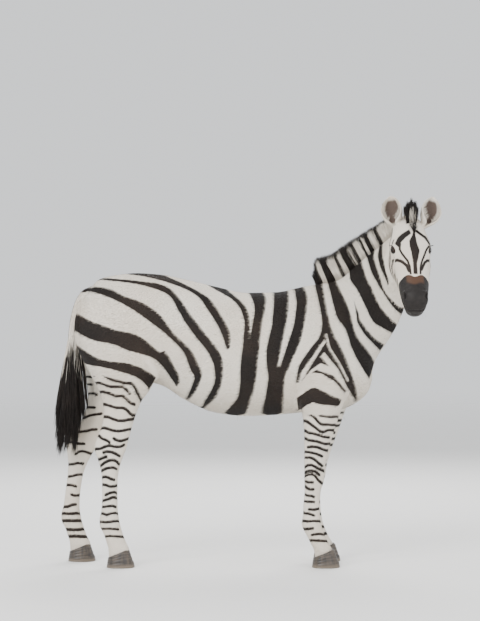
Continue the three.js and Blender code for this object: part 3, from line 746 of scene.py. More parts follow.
def skin_fields():
    surfaces = {
        "torso": torso_surface(),
        "legs": leg_surfaces(),
        "neck": neck_surface(),
        "head": head_surface(),
        "dock": dock_surface(),
        "ears": together([ear_surface(side) for side in SIDES.values()]),
    }
    points = np.concatenate([enlarged(points) for points, _ in surfaces.values()])
    low = np.floor(points.min(0) / VOXEL).astype(int) - BAND
    shape = tuple(int(n) for n in np.ceil(points.max(0) / VOXEL).astype(int) + BAND - low)
    field = field_of(surfaces["torso"], low, shape)
    for name, soft in JOINED_OVER.items():
        field = joined_softly(field, field_of(surfaces[name], low, shape), soft)
    for side in SIDES.values():
        eye_cut(field, low, side)
    muzzle_cut(field, low)
    field = joined_softly(field, field_of(surfaces["ears"], low, shape), EARS_JOINED_OVER)
    return field, low


def neighbours_mean(values, edges, degree):
    total = np.zeros_like(values)
    for column in range(values.shape[1]):
        total[:, column] = np.bincount(edges[:, 0], values[edges[:, 1], column], len(values))
        total[:, column] += np.bincount(edges[:, 1], values[edges[:, 0], column], len(values))
    return total / degree[:, None]


def smoothed(points, quads, strength, rounds):
    """Points eased over the mesh, by their own strength, without shrinking it."""
    edges = np.concatenate([quads[:, [corner, (corner + 1) % 4]] for corner in range(4)])
    edges = np.unique(np.sort(edges, axis=1), axis=0)
    degree = np.bincount(edges.ravel(), minlength=len(points)).astype(float)
    for _ in range(rounds):
        for step in (0.5, -0.52):
            points = points + (neighbours_mean(points, edges, degree) - points) * (strength * step)[:, None]
    return points


def corner_normals(points, faces):
    """Unit normals at the points of a mesh of triangles."""
    flat = across_faces(points, faces)
    normals = np.zeros_like(points)
    for corner in range(3):
        for axis in range(3):
            normals[:, axis] += np.bincount(faces[:, corner], flat[:, axis], len(points))
    return unit(normals)


def make_skin():
    field, low = skin_fields()
    grid = vdb.FloatGrid(BAND * VOXEL)
    grid.copyFromArray(field, ijk=tuple(int(i) for i in low))
    grid.transform = vdb.createLinearTransform(voxelSize=VOXEL)
    points, _, quads = grid.convertToPolygons(isovalue=0, adaptivity=0)
    points, quads = largest_piece(reduced(points.astype(float)), quads.astype(np.int64))
    quads = facing_out(points, quads)
    from_head = np.linalg.norm(points - LENS, axis=-1)
    # The legs, the head and the tail keep their form, and the rest is smoothed in full.
    strength = 0.12 + 0.88 * ease((points[:, 2] - 560) / 160) * ease((from_head - 260) / 160)
    strength *= 1 - 0.8 * ease((-590 - points[:, 0]) / 40)
    strength = np.maximum(strength, 0.35 * ear_share(points)[0])
    points = smoothed(points, quads, strength, SMOOTHINGS)
    return points, np.stack([quads[:, [0, 1, 2]], quads[:, [0, 2, 3]]], 1).reshape(-1, 3)


def largest_piece(points, quads):
    """The biggest connected surface, without the loose scraps."""
    label = np.arange(len(points))
    while True:
        least = label[quads].min(1)
        new = label.copy()
        for corner in range(4):
            np.minimum.at(new, quads[:, corner], least)
        new = new[new]
        if (new == label).all():
            break
        label = new
    names, counts = np.unique(label, return_counts=True)
    kept = label == names[counts.argmax()]
    index = np.cumsum(kept) - 1
    return points[kept], index[quads[kept[quads[:, 0]]]]


# ---- stripes -------------------------------------------------------------------------------------
# Edges of the dark stripes on its right side, in pixels of the photograph. A dark stripe is the area
# between two edges, which start at the back or the rear and end at the belly or in a common tip.
RUMP_1 = [
    (78.3, 345.7), (87.2, 352), (97.4, 357.8), (108.9, 361), (129.3, 363.5), (145.9, 369.9),
    (156.1, 377.6),
]
THIGH_1 = [(80, 360), (86.3, 364.2), (101, 367), (117, 370.5), (133, 375.5), (142, 381), (149.4, 388.8)]
RUMP_2 = [
    (75.1, 330.4), (84.6, 336.1), (96.1, 340.6), (111.4, 343.8), (131.8, 351.4), (151, 357.1),
    (161.2, 364.8), (172.7, 380.1), (176.7, 387.1),
]
RUMP_3 = [
    (77.6, 313.1), (89.7, 320.2), (103.8, 325.3), (116.5, 329.7), (133.1, 333.5), (144.6, 339.3),
    (159.9, 352), (165.6, 350.8), (175.2, 367.3), (180.3, 380.1), (176.7, 387.1),
]
RUMP_4 = [
    (85.3, 292.1), (91, 291.5), (108.9, 297.2), (129.3, 307.4), (152.2, 323.3), (168.8, 336.7),
    (184.1, 353.3), (190.5, 369.9), (194.3, 378.8), (187.3, 398), (188.6, 400.5),
]
RUMP_5 = [
    (91, 287), (97.4, 286.4), (111.4, 288.9), (124.2, 295.9), (142, 302.3), (159.9, 314.4),
    (173.9, 332.9), (191.8, 350.8), (200.7, 368.6), (202, 376.3), (196.9, 390.3), (188.6, 400.5),
]
RUMP_6 = [
    (103.8, 280), (131.8, 282.9), (157.3, 289.5), (171.4, 297.8), (177.8, 309.9), (191.8, 331.6),
    (208.4, 353.3), (214.1, 367.3), (214.1, 383.9), (201.4, 408.2),
]
RUMP_7 = [
    (107.6, 278.1), (131.8, 280), (163.7, 285.1), (177.1, 295.3), (190.5, 313.8), (207.1, 335.5),
    (221.1, 354.6), (223.4, 372.4), (218.6, 394.1), (204.5, 409.4),
]
LOIN_1 = [
    (128, 274.2), (154.8, 278.7), (175.2, 285.1), (195.6, 294.6), (207.1, 308.7), (219.8, 329.1),
    (226.2, 346.9), (228.5, 350.4),
]
LOIN_2 = [
    (172.7, 278.7), (190.5, 287), (209.6, 298.5), (221.1, 315.1), (229.4, 330.4), (230.7, 344.4),
    (228.5, 350.4),
]
BARREL_A = [
    (214, 288.6), (235.1, 301.9), (243.5, 317.3), (244.2, 334.2), (240.7, 362.2), (240, 383.3),
    (237.2, 398.7), (224.6, 413.5), (220, 420),
]
BARREL_B = [(232.3, 293.5), (242.1, 301.9), (248.4, 311.7), (249.8, 321.6), (250.5, 338.4)]
BARREL_C = [(250.5, 293.5), (254.7, 307.5), (253.3, 320.2), (251.9, 328.6), (250.5, 338.4)]
BARREL_D = [
    (264.5, 293.5), (266.6, 301.9), (261.7, 328.6), (258.2, 362.2), (254.7, 390.3), (246.3, 414.9),
    (245, 421),
]
BARREL_E = [
    (274.4, 293.5), (272.3, 323), (267.3, 345.4), (266.6, 362.2), (268.1, 380.5), (262.4, 414.9),
    (262, 421),
]
BARREL_F = [(289.1, 289.3), (289.1, 306.1), (285.6, 328.6), (278.6, 362.2), (279.7, 365.8)]
BARREL_G = [(294.7, 288.6), (296.5, 306.1), (292.6, 328.6), (280.7, 365.1), (279.7, 365.8)]
BARREL_H = [
    (304.5, 286.5), (308, 297.7), (305.9, 317.3), (301, 339.8), (289.8, 366.5), (284.9, 379.1),
    (284.2, 412.8), (284, 420),
]
SHOULDER_I = [
    (315.1, 285.1), (321.8, 317.3), (320, 335.6), (310.8, 348.2), (299.6, 365.1), (296.1, 381.9),
]
SHOULDER_J = [
    (322.8, 284.4), (329.8, 321.6), (334.7, 335.6), (343.1, 351), (354.3, 380.5), (358.6, 400.8),
]
NECK_K = [(328.4, 284.4), (336.8, 315.9), (345.9, 330), (354.3, 353.8), (369.1, 378.4)]
NECK_L = [(336.1, 280.2), (348.7, 307.5), (355.7, 332.8), (368.4, 351), (374.7, 361.5)]
NECK_M = [
    (349.4, 272.4), (350.8, 280.9), (358.6, 292.1), (370.5, 317.3), (376.8, 324.4), (392.2, 332.8),
]
NECK_N = [(361.7, 260.9), (366.3, 276.3), (373.7, 292), (382.9, 309.5), (394.5, 321.9), (401.1, 324.4)]
NECK_O = [(367.1, 257.2), (372.1, 273), (382.9, 292), (394.5, 308.6), (403.6, 314.8)]
NECK_P = [(375, 248.9), (374.2, 258), (380, 276.3), (385.4, 292), (397.8, 305.3), (405.3, 307.8)]
NECK_Q = [(379.1, 247.3), (378, 256), (380, 266), (384, 275), (386.5, 281), (388, 284.5)]
NECK_R = [(383.3, 241.5), (382.7, 256), (386.2, 267.5), (388.6, 276), (388.8, 284.5)]
# These two stripes of the neck are hidden behind the head.
NECK_S = [(389, 240), (391, 256), (395, 268), (401, 279), (408, 287)]
NECK_T = [(392.5, 240), (395.5, 254), (399.5, 264), (405, 272), (411, 278)]
NECK_U = [(398, 238), (401, 250), (406, 259), (412, 265)]
NECK_V = [(402, 238), (405, 247), (411, 254)]
HAIRPIN_1 = [(356.4, 313.8), (357.8, 323), (367, 337), (380.3, 350.3)]
HAIRPIN_2 = [(358.6, 313.1), (361.4, 321.6), (374, 337), (384.5, 344.7)]
ARM_P = [(300.9, 394.9), (308.9, 389.7), (316.4, 388), (331.3, 394.9), (342, 399.7)]
ARM_Q = [(302.6, 408.1), (312.4, 402.6), (322.1, 404.6), (339.4, 405.8)]
DARK_STRIPES = [
    (RUMP_1, THIGH_1), (RUMP_2, RUMP_3), (RUMP_4, RUMP_5), (RUMP_6, RUMP_7), (LOIN_1, LOIN_2),
    (BARREL_A, BARREL_D), (BARREL_E, BARREL_H), (SHOULDER_I, SHOULDER_J), (NECK_K, NECK_L),
    (NECK_M, NECK_N), (NECK_O, NECK_P), (NECK_Q, NECK_R),
]
HIDDEN_STRIPES = [(NECK_S, NECK_T), (NECK_U, NECK_V)]  # they run over the neck's left side only
# Light shapes inside the dark ones, each the area between two edges or round one closed line.
LIGHT_WEDGES = [(BARREL_B, BARREL_C), (BARREL_F, BARREL_G)]
SHOULDER_LOOP = [
    (324.4, 339.5), (314.7, 354.1), (301.5, 372.5), (298.6, 386.8), (299.8, 385.1), (311.8, 364.4),
    (320.4, 351.2), (326.2, 341.5),
]
SHOULDER_LIGHT = [
    (299.2, 385.1), (311.8, 369.6), (321, 363), (329.6, 366.2), (321.3, 356.4), (324.4, 352.1),
    (329.6, 358.7), (338.8, 369.6), (348, 388), (357, 402), (342, 400.5), (331.3, 395), (316.4, 388),
    (308.9, 389.7), (300.9, 394.9),
]
SHOULDER_LINE = [(326.2, 334.3), (329.6, 347.2), (340.5, 365.6), (348.3, 380.5)]
SHOULDER_ARC = [
    (311.2, 372.5), (317, 369.6), (333.6, 375.4), (346.8, 390.3), (345.1, 392.6), (335.9, 382.2),
    (321, 373.6),
]

# The dark bands of the legs, each a line in pixels of the photograph. The grass hides the lowest ones, so
# those are guessed, and so are the bands of the left fore leg, which stands behind the right one.
FORE_BANDS = [
    [
        (308.7, 413.1), (311.8, 415), (315.2, 417.8), (318.5, 421.8), (321.8, 424.2), (326, 424.6),
        (337, 424.8),
    ],
    [(320.2, 415.2), (323.5, 416), (327.7, 416.8), (338, 416.4)],
    [
        (300, 419.6), (306.4, 421), (316, 427.8), (320.2, 431), (323.5, 431.7), (327.7, 430.3),
        (340, 429.5),
    ],
    [(301, 429), (304.8, 430.3), (308.5, 432.7), (313.5, 433.5), (323.5, 436.4), (329, 437.4)],
    [
        (301, 436.5), (304.8, 438.1), (308.5, 440.2), (316.8, 441.4), (321, 442.8), (325.2, 443.8),
        (334, 443.3),
    ],
    [(308.1, 447), (311.8, 446.4), (316.8, 447), (321.8, 448.9), (326, 450.3), (333, 450.4)],
    [(301, 451), (305, 451.4), (311, 452.3), (316, 453.7), (322, 456.2)],
    [(301, 457.5), (309.3, 457.3), (312.7, 458.3), (316, 460.6), (319.3, 463.7), (322.3, 465.8)],
    [(301, 468), (305, 466.7), (307.7, 465.2), (311, 464.8), (314.3, 466), (318.5, 468.5), (328, 473)],
    [(301, 473), (305.2, 472), (307.7, 470.8), (311, 470.3), (315.2, 471.4), (319.3, 474.5)],
    [
        (301, 477), (305.6, 476), (308.5, 474.5), (311.8, 474.3), (314.8, 475.6), (318.1, 479.8),
        (325, 485),
    ],
    [(301, 481), (305.8, 481.4), (308.5, 482.4), (313, 482.4)],
    [(301, 484), (305.3, 486), (307.3, 488.1), (310.2, 489.2), (313.3, 489.3)],
    [(301, 491), (304.8, 493.7), (306.8, 495.2), (311, 495.4), (314, 496.6)],
    [(300, 500), (306.8, 501.7), (314, 501.6)],
    [(309, 509.3), (315.2, 509.5), (324, 507.5)],
    [(299, 509.5), (304.8, 513.1), (309.3, 513.7), (314, 515.3)],
    [(296, 520), (308, 521.5), (318, 520.8), (326, 521.5)],
    [(298, 528), (306, 528.8), (313, 528.4)],
    [(312, 534.6), (320, 534), (332, 535)],
    [(300, 541), (312, 540), (324, 541), (334, 540.6)],
]
HIND_BANDS = [
    [
        (94.5, 376), (97.3, 374.4), (100.9, 374.2), (105.5, 376.2), (111.8, 379.6), (119.1, 381.3),
        (123.6, 382.8), (129.1, 383), (132.7, 383.7), (135.5, 387.8), (138.2, 393.3), (142, 400),
    ],
    [
        (92, 385), (95, 384), (99.1, 382.5), (103.6, 384.2), (110, 386.5), (122.7, 386.7),
        (126.4, 389.2), (129.8, 393.3),
    ],
    [
        (96, 394), (102.7, 391.5), (106.4, 391.9), (116.4, 395.8), (122.7, 395.8), (127.3, 399.6),
        (130.5, 402.8), (134.5, 404.6),
    ],
    [
        (100, 402.8), (110, 406), (116.4, 407.6), (122.7, 407.8), (126.4, 409.6), (130, 413.3),
        (132.7, 415.1), (140, 415.3),
    ],
    [
        (100, 416.7), (107.7, 416.7), (112.7, 418.9), (118.2, 420.5), (123.6, 420.5), (129.1, 419.6),
        (140, 418),
    ],
    [
        (97, 429), (103.6, 427.6), (108.2, 428.9), (112.7, 430.5), (118.2, 431.3), (122.7, 430.7),
        (136, 427.5),
    ],
    [(95, 433), (98.9, 435.5), (101.8, 438.3), (106.4, 440.1), (109.5, 441.9)],
    [(113.5, 438.1), (116.4, 439.8), (120, 440.8), (123.6, 440.4), (133, 437)],
    [
        (93, 449.4), (100.9, 448.5), (104.5, 446.7), (109.1, 445.5), (116.8, 446.9), (120.9, 446.2),
        (124.4, 444.6),
    ],
    [(103.6, 452.4), (106.4, 451.5), (110.9, 451.9), (114.5, 453.3), (119.5, 456.2)],
    [(95, 460), (99.1, 459.2), (102.7, 457.8), (106.5, 456.5)],
    [
        (97, 467), (100.9, 465.5), (104.5, 462.4), (109.1, 460.4), (113.6, 459.8), (116.4, 461),
        (119, 464),
    ],
    [(98, 472), (102.3, 470.4), (106.4, 468.5), (110.9, 467.5), (113.6, 467.5), (116.4, 468.7)],
    [(98, 478), (102.7, 477.1), (105.5, 476.5), (109.1, 477.6), (111.4, 479.2), (114.1, 479.6)],
    [(98, 484), (106.4, 484.9), (110, 486.5), (113.6, 486.2), (117, 485)],
    [(105.7, 494.9), (110, 493), (114.5, 492.1), (118.2, 493.5), (123, 494)],
    [(98, 501), (103.2, 500.5), (107.3, 499.2), (111.8, 497.6), (114.5, 497.4), (117, 498.3)],
    [(98, 507), (103.5, 506.9), (108.2, 506), (112.7, 505.5), (115.2, 506.6)],
    [(97, 512), (103.2, 513.7), (106.8, 515.1), (110.9, 513.5), (115.5, 512.8), (124, 514)],
    [(94, 521), (106, 522), (118, 521), (126, 521.6)],
    [(96, 529), (110, 528.4), (118, 529.2)],
    [(98, 537), (110, 536), (128, 537)],
]
FAR_HIND_BANDS = [
    [(78, 377), (86, 376.5), (96, 377)],
    [(78, 384), (89.1, 384.2), (92.5, 384.5)],
    [(78, 393), (91.8, 393.3), (95, 393.5), (97.3, 394.8)],
    [(78, 405.6), (84.5, 406), (89.1, 406.9), (94.7, 407.4)],
    [(78, 419), (85.5, 417.4), (90, 415.5), (95.5, 414.2), (101.6, 413.5)],
    [(76, 432), (83.2, 431.3), (87.3, 430.7), (91.8, 429.5), (96.4, 429.5)],
    [(68, 441.5), (75.5, 442.4), (78.2, 443.5), (84.5, 443.7)],
    [(75.5, 454), (79.1, 451.5), (83.6, 451.3), (88.2, 452.4), (91.8, 453.5), (98, 452.4)],
    [(64, 464.2), (72.7, 464.2), (78.2, 462.8), (83.2, 463.3)],
    [(69.4, 476.5), (72.7, 476), (77.3, 474.8), (81.5, 474.2)],
    [(62, 484.6), (70.9, 484.6), (76.2, 486.2)],
    [(71.6, 494.4), (74.5, 495.5), (86, 494.3)],
    [(58, 506.6), (68.2, 506.5), (71.8, 504.8), (75.5, 504.2)],
    [(56, 513), (70, 513.6), (86, 513)],
    [(54, 521), (72, 520.4), (90, 521.4)],
    [(58, 529), (74, 529.6), (84, 529)],
    [(60, 537), (76, 536), (96, 537)],
]
PIXEL = 4.634  # millimetres to a pixel on the animal
MARK_LIMIT = 60.0  # no stripe's edge counts from further away, in millimetres
OVER_BACK = 14.0  # how many pixels a stripe goes on past the start of its edges


def apart_from(p, line):
    """How far flat points are from a line of straight stretches."""
    least = np.full(len(p), 1e9)
    for a, b in zip(line[:-1], line[1:]):
        d = b - a
        t = np.clip(((p - a) @ d) / max(d @ d, 1e-9), 0, 1)
        least = np.minimum(least, ((p - a - t[:, None] * d) ** 2).sum(1))
    return np.sqrt(least)


def inside_of(p, outline):
    """How far flat points are inside a closed line. Outside it is below zero, down to the limit."""
    limit = MARK_LIMIT / PIXEL
    low, high = outline.min(0) - limit, outline.max(0) + limit
    near = ((p > low) & (p < high)).all(1)
    made = np.full(len(p), -limit)
    q = p[near]
    within = np.zeros(len(q), bool)
    for a, b in zip(outline, np.roll(outline, -1, axis=0)):
        crosses = (a[1] > q[:, 1]) != (b[1] > q[:, 1])
        rise = b[1] - a[1] if b[1] != a[1] else 1e-9
        within ^= crosses & (q[:, 0] < a[0] + (q[:, 1] - a[1]) * (b[0] - a[0]) / rise)
    far = np.minimum(apart_from(q, np.concatenate([outline, outline[:1]])), limit)
    made[near] = np.where(within, far, -far)
    return made


def rounded(line, past, steps=4):
    """A line of points as a curve through them, and past its start, so that it reaches over the back."""
    p = np.array(line, float)
    start = p[0] + (p[0] - p[1]) / max(np.linalg.norm(p[0] - p[1]), 1e-9) * past
    p = np.concatenate([[start], p])
    padded = np.concatenate([[2 * p[0] - p[1]], p, [2 * p[-1] - p[-2]]])
    t = (np.arange(steps) / steps)[:, None]
    made = []
    for a, b, c, d in zip(padded[:-3], padded[1:-2], padded[2:-1], padded[3:]):
        made.append(b + 0.5 * t * (c - a + t * (2 * a - 5 * b + 4 * c - d + t * (3 * (b - c) + d - a))))
    return np.concatenate([*made, [p[-1]]])


def between(edges, past=OVER_BACK):
    first, second = edges
    return np.concatenate([rounded(first, past), rounded(second, past)[::-1]])


def wavy(points, scale, seed):
    """A smooth wandering number from -1 to 1 at each point, without a repeat that shows."""
    draw = np.random.default_rng(seed)
    total = np.zeros(len(points))
    for _ in range(5):
        way = unit(draw.normal(size=3))
        total += np.sin(points @ way / scale * draw.uniform(0.7, 1.5) + draw.uniform(0, 6.3))
    return total / 5


def neck_places(points):
    """Where points are along the neck, and how far left of its middle plane."""
    samples = np.linspace(0, 1, 41)
    centre, _, left, on = neck_frame(samples)
    off = np.abs(np.einsum("nsk,sk->ns", points[:, None] - centre[None], on))
    nearest = off.argmin(1)
    aside = ((points - centre[nearest]) * left[nearest]).sum(1)
    return samples[nearest], aside, left[nearest]


NECK_CUT_AT, NECK_CUT_WAY = np.array([462, 0, 1296.0]), unit(np.array([0.765, 0, 0.644]))
HEAD_CUT_AT, HEAD_CUT_WAY = head_point(-50, 0, -40), unit(head_way(0.6, 0, 0.8))
HEAD_FROM_X = 768.0


def past_neck_cut(points):
    return (points - NECK_CUT_AT) @ NECK_CUT_WAY


def past_head_cut(points):
    return np.minimum((points - HEAD_CUT_AT) @ HEAD_CUT_WAY, points[:, 0] - HEAD_FROM_X)


def on_near_side(points):
    """The places on its right side that points on its left side mirror."""
    made = points.copy()
    made[:, 1] = -np.abs(points[:, 1])
    neck = past_neck_cut(points) > 0
    _, aside, left = neck_places(points[neck])
    made[neck] = points[neck] - 2 * np.maximum(aside, 0)[:, None] * left
    return made


FAR_SWING = 14.0  # how far the far side's stripes wander from the near side's, in millimetres
EDGE_WAVE = 0.35  # how far the edge of a stripe wanders, in pixels
SPINE_HALF, KEEL_HALF = 9.0, 10.0  # the dark lines along the back and under the belly
CHEST_Z = 900.0


def body_marks(points, normals):
    """How far inside a dark stripe of the trunk or neck points are, in millimetres."""
    far = points[:, 1] > 0
    swing = np.stack([wavy(points, 130, 5), np.zeros(len(points)), wavy(points, 130, 6)], -1)
    seen = photo_point(on_near_side(points) + FAR_SWING * far[:, None] * swing)
    seen = seen + EDGE_WAVE * np.stack([wavy(points, 14, 7), wavy(points, 14, 8)], -1)
    mark = np.full(len(points), -MARK_LIMIT / PIXEL)
    for edges in DARK_STRIPES:
        mark = np.maximum(mark, inside_of(seen, between(edges)))
    fading = 8 * ease(-neck_places(points)[1] / 40)
    for edges in HIDDEN_STRIPES:
        mark = np.maximum(mark, inside_of(seen, between(edges)) - fading)
    for edges in LIGHT_WEDGES:
        mark = np.minimum(mark, -inside_of(seen, between(edges)))
    for outline in (SHOULDER_LOOP, SHOULDER_LIGHT):
        mark = np.minimum(mark, -inside_of(seen, np.array(outline)))
    mark = np.minimum(mark, apart_from(seen, np.array(SHOULDER_LINE)) - 0.9)
    mark = np.maximum(mark, inside_of(seen, np.array(SHOULDER_ARC)))
    mark = np.maximum(mark, inside_of(seen, between((ARM_P, ARM_Q), 5.0)))
    mark = np.maximum(mark, inside_of(seen, between((HAIRPIN_1, HAIRPIN_2))))
    mark = mark * PIXEL
    # The stripes end before the middle of the belly.
    under = ease((-normals[:, 2] - 0.93) / 0.07) * ease((points[:, 2] - 600) / 60)
    mark = mark - 26 * under * ease((620 - points[:, 0]) / 60)
    middle = np.abs(points[:, 1])
    off_back = 40 * (1 - ease(normals[:, 2] * 2)) + 30 * (1 - ease((470 - points[:, 0]) / 60))
    off_belly = 40 * ease((normals[:, 2] + 0.7) / 0.3) + 40 * ease((points[:, 0] - 330) / 50)
    spine = SPINE_HALF - middle - off_back
    keel = np.where(points[:, 2] < CHEST_Z, KEEL_HALF - middle - off_belly, -MARK_LIMIT / 2)
    return np.maximum(mark, np.maximum(spine, keel))


def band_marks(points, bands, thick):
    """How far inside a dark band of one leg points are, in millimetres."""
    seen = photo_point(points) + 0.4 * np.stack([wavy(points, 16, 9), wavy(points, 11, 10)], -1)
    thick = thick * (1 + 0.3 * wavy(points, 46, 11))
    mark = np.full(len(points), -MARK_LIMIT)
    for band in bands:
        mark = np.maximum(mark, thick - apart_from(seen, np.array(band)) * PIXEL)
    return mark


FORE_BANDS_TO, HIND_BANDS_TO = 705.0, 900.0
FORE_BAND_HALF, HIND_BAND_HALF = 6.6, 7.0  # half the thickness of a band
LEFT_BANDS_UP = 12.0  # how much higher the left fore leg has the bands of the right one


def leg_marks(points):
    mark = np.full(len(points), -MARK_LIMIT)
    tail = (points[:, 0] < -585) & (np.abs(points[:, 1]) < 45)
    right = points[:, 1] < 0
    fore = (points[:, 2] < FORE_BANDS_TO) & (points[:, 0] > 300)
    hind = ~tail & (points[:, 2] < HIND_BANDS_TO) & (points[:, 0] < -150)
    as_right = on_near_side(points[fore])
    as_right[:, 0] -= fore_shift(points[fore, 2]) * ~right[fore]
    as_right[:, 2] -= LEFT_BANDS_UP * ~right[fore]
    mark[fore] = band_marks(as_right, FORE_BANDS, FORE_BAND_HALF)
    for here, bands in ((hind & right, HIND_BANDS), (hind & ~right, FAR_HIND_BANDS)):
        fading = 30 * ease((points[here, 2] - HIND_BANDS_TO) / 30 + 1)
        mark[here] = band_marks(points[here], bands, HIND_BAND_HALF) - fading
    return mark


# The face, in pixels of the photograph.
BLAZE_LEFT = [
    (413.9, 229), (411.7, 236), (409.2, 240.4), (409.6, 246), (411.2, 251.6), (413, 262), (413.6, 274),
]
BLAZE_RIGHT = [
    (414.3, 229), (415.5, 235.5), (417, 243), (419.7, 250.3), (418.6, 257), (417, 263), (417.8, 274),
]
BROW_INNER = [(411.2, 233.3), (405, 238), (400, 243.6), (398.6, 247.5)]
BROW_OUTER = [(409, 229.3), (402, 233.5), (397.9, 237.3), (394.7, 243.6)]
FACE_LINE = [(400, 243.6), (399.6, 249.4), (403, 255), (407.4, 260.4), (409.6, 266), (410.7, 273.5)]
FAR_BROW_LINE = [(416.6, 231), (421, 234.4), (425, 237.3), (428, 241), (429.6, 243.6)]
FAR_FACE_LINE = [(429, 246), (426.4, 249.8), (424, 256), (421.5, 262.5), (420.4, 268), (420.6, 273.5)]
CHEEK_LINE = [(390.4, 260.4), (393.7, 261.2), (397.4, 260), (402, 261.6), (407, 265.8), (409, 270.8)]
FAR_CHEEK_LINE = [(434, 261), (430.6, 260.8), (427.3, 260.4), (424.8, 262.5), (421.5, 269.5)]
HEAD_STROKES = [  # a line of the face, and half its thickness in pixels
    (FACE_LINE, 1.1), (FAR_FACE_LINE, 1.0), (FAR_BROW_LINE, 1.3), (CHEEK_LINE, 1.6), (FAR_CHEEK_LINE, 1.4),
]
MUZZLE_FROM = 338.0  # how far along the face the dark muzzle starts
NOSE_TO = 389.0  # and its brown patch ends
JAW_CENTRE = (74.0, -196.0)  # the stripes of the cheek run round this place, along and up
JAW_PERIOD = 37.0


def face_marks(points, normals):
    along, _, up = in_head(points).T
    seen = photo_point(points)
    front = inside_of(seen, np.concatenate([BLAZE_LEFT, BLAZE_RIGHT[::-1]]))
    front = np.maximum(front, inside_of(seen, np.concatenate([BROW_INNER, BROW_OUTER[::-1]])))
    for line, half in HEAD_STROKES:
        front = np.maximum(front, half - apart_from(seen, np.array(line)))
    front = front * PIXEL
    around = np.hypot(along - JAW_CENTRE[0], (up - JAW_CENTRE[1]) * 0.86) + 4 * wavy(points, 40, 12)
    cheek = (np.abs((around / JAW_PERIOD) % 1 - 0.5) - 0.27) * JAW_PERIOD
    cheek = cheek - 16 * ease((along - 316) / 40)
    side = ease((0.34 - normals @ AHEAD) / 0.2)
    return front * (1 - side) + cheek * side


def eye_openings(points):
    """How far points are from the nearer eye's middle, seen along its gaze, and in front of it."""
    least = np.full(len(points), 1e9)
    for side in SIDES.values():
        a, b, o, far = in_eye(points, side)
        least = np.minimum(least, np.where((o > -6) & (far < EYE_REACH - 2), np.hypot(a / 1.5, b), 1e9))
    return least


EAR_REACH = 62.0  # nothing of an ear is further than this from its axis


def ear_places(points, side):
    """Where points are on an ear: up it as a share of its height, out of its mouth and across it."""
    rise, mouth, across = ear_axes(side)
    q = points - ear_root(side)
    return q @ rise / EAR_LONG, q @ mouth, q @ across


def bare_skin(points):
    """From 0 to 1, how far dark, nearly hairless skin shows: at the muzzle, lids and nostrils."""
    along, across, up = in_head(points).T
    on_head = past_head_cut(points) > 0
    edge = MUZZLE_FROM + 7 * np.cos(across / 11.5) + 14 * ease((-up - 20) / 50) + 5 * wavy(points, 16, 15)
    muzzle = ease((along - edge + 2) / 14) * on_head
    lids = ease((19.5 - eye_openings(points)) / 5)
    return np.maximum(muzzle, lids)


def brown_nose(points):
    """From 0 to 1, how far points are on the brown patch above the nostrils."""
    along, across, up = in_head(points).T
    edge = NOSE_TO + 9 * np.cos(across / 16) + 9 * wavy(points, 12, 16)
    near_middle = ease((47 + 7 * wavy(points, 16, 17) - np.abs(across)) / 13)
    return ease((edge - along) / 17) * near_middle * (up > 0) * (past_head_cut(points) > 0)


def ear_skin_and_hollow_shade(points, normals):
    """From 0 to 1, how far points are inside the cup of an ear, away from its edge: where its darker skin
    shows, deepened by painted shade in the hollow of the cup.
    """
    found = np.zeros(len(points))
    for side in SIDES.values():
        t, _, across = ear_places(points, side)
        half = EAR_WIDE * smooth_rows(EAR)(t)[:, 0]
        inner = ease((half - 9 - np.abs(across)) / 9) * ease((t - 0.02) / 0.1) * ease((0.9 - t) / 0.1)
        found = np.maximum(found, inner * ((t > 0) & (t < 1) & (np.abs(across) < EAR_REACH)))
    return found * ease(ear_facing(points, normals) / 6)


def ear_share(points):
    """From 0 to 1, how far points belong to an ear, and how far up it they are."""
    share, up_it = np.zeros(len(points)), np.zeros(len(points))
    for side in SIDES.values():
        t, mouth, across = ear_places(points, side)
        here = (t > 0.02) & (t < 1.1) & (np.abs(across) < EAR_REACH) & (np.abs(mouth) < EAR_REACH - 2)
        share = np.where(here, ease((t - 0.02) / 0.14), share)
        up_it = np.where(here, t, up_it)
    return share, up_it


def ear_facing(points, normals):
    """Above zero on the inside of an ear's cup, below it on its back."""
    facing = np.zeros(len(points))
    for side in SIDES.values():
        rise, mouth, _ = ear_axes(side)
        t, _, aside = ear_places(points, side)
        here = (t > -0.02) & (t < 1.1) & (np.abs(aside) < EAR_REACH)
        axis = ear_root(side) + rise * (t * EAR_LONG)[:, None] + mouth * 24
        facing = np.where(here, ((axis - points) * normals).sum(1), facing)
    return facing


EAR_BANDS = ((0.12, 0.24), (0.6, 0.9))  # the dark ones on the back of an ear, by their height on it
NO_MARK = -20.0


def ear_marks(points, normals):
    _, t = ear_share(points)
    back = np.max([np.minimum(t - low, high - t) * EAR_LONG for low, high in EAR_BANDS], axis=0)
    from_front = (ear_facing(points, normals) > 0) | (normals @ AHEAD > -0.15)
    return np.where(from_front, NO_MARK, back)


TAIL_PERIOD = 27.0  # from one ring of the tail to the next
TAIL_LINE_HALF = 7.0  # half the width of the line down its middle


def tail_marks(points):
    down = np.clip((DOCK[0][2] - points[:, 2]) / 400, 0, 1)
    place = (points[:, 2] + 3 * wavy(points, 20, 21)) / TAIL_PERIOD
    rings = (np.abs(place % 1 - 0.5) - 0.29) * TAIL_PERIOD
    return np.maximum(rings - 12 * (1 - down), TAIL_LINE_HALF - np.abs(points[:, 1]))


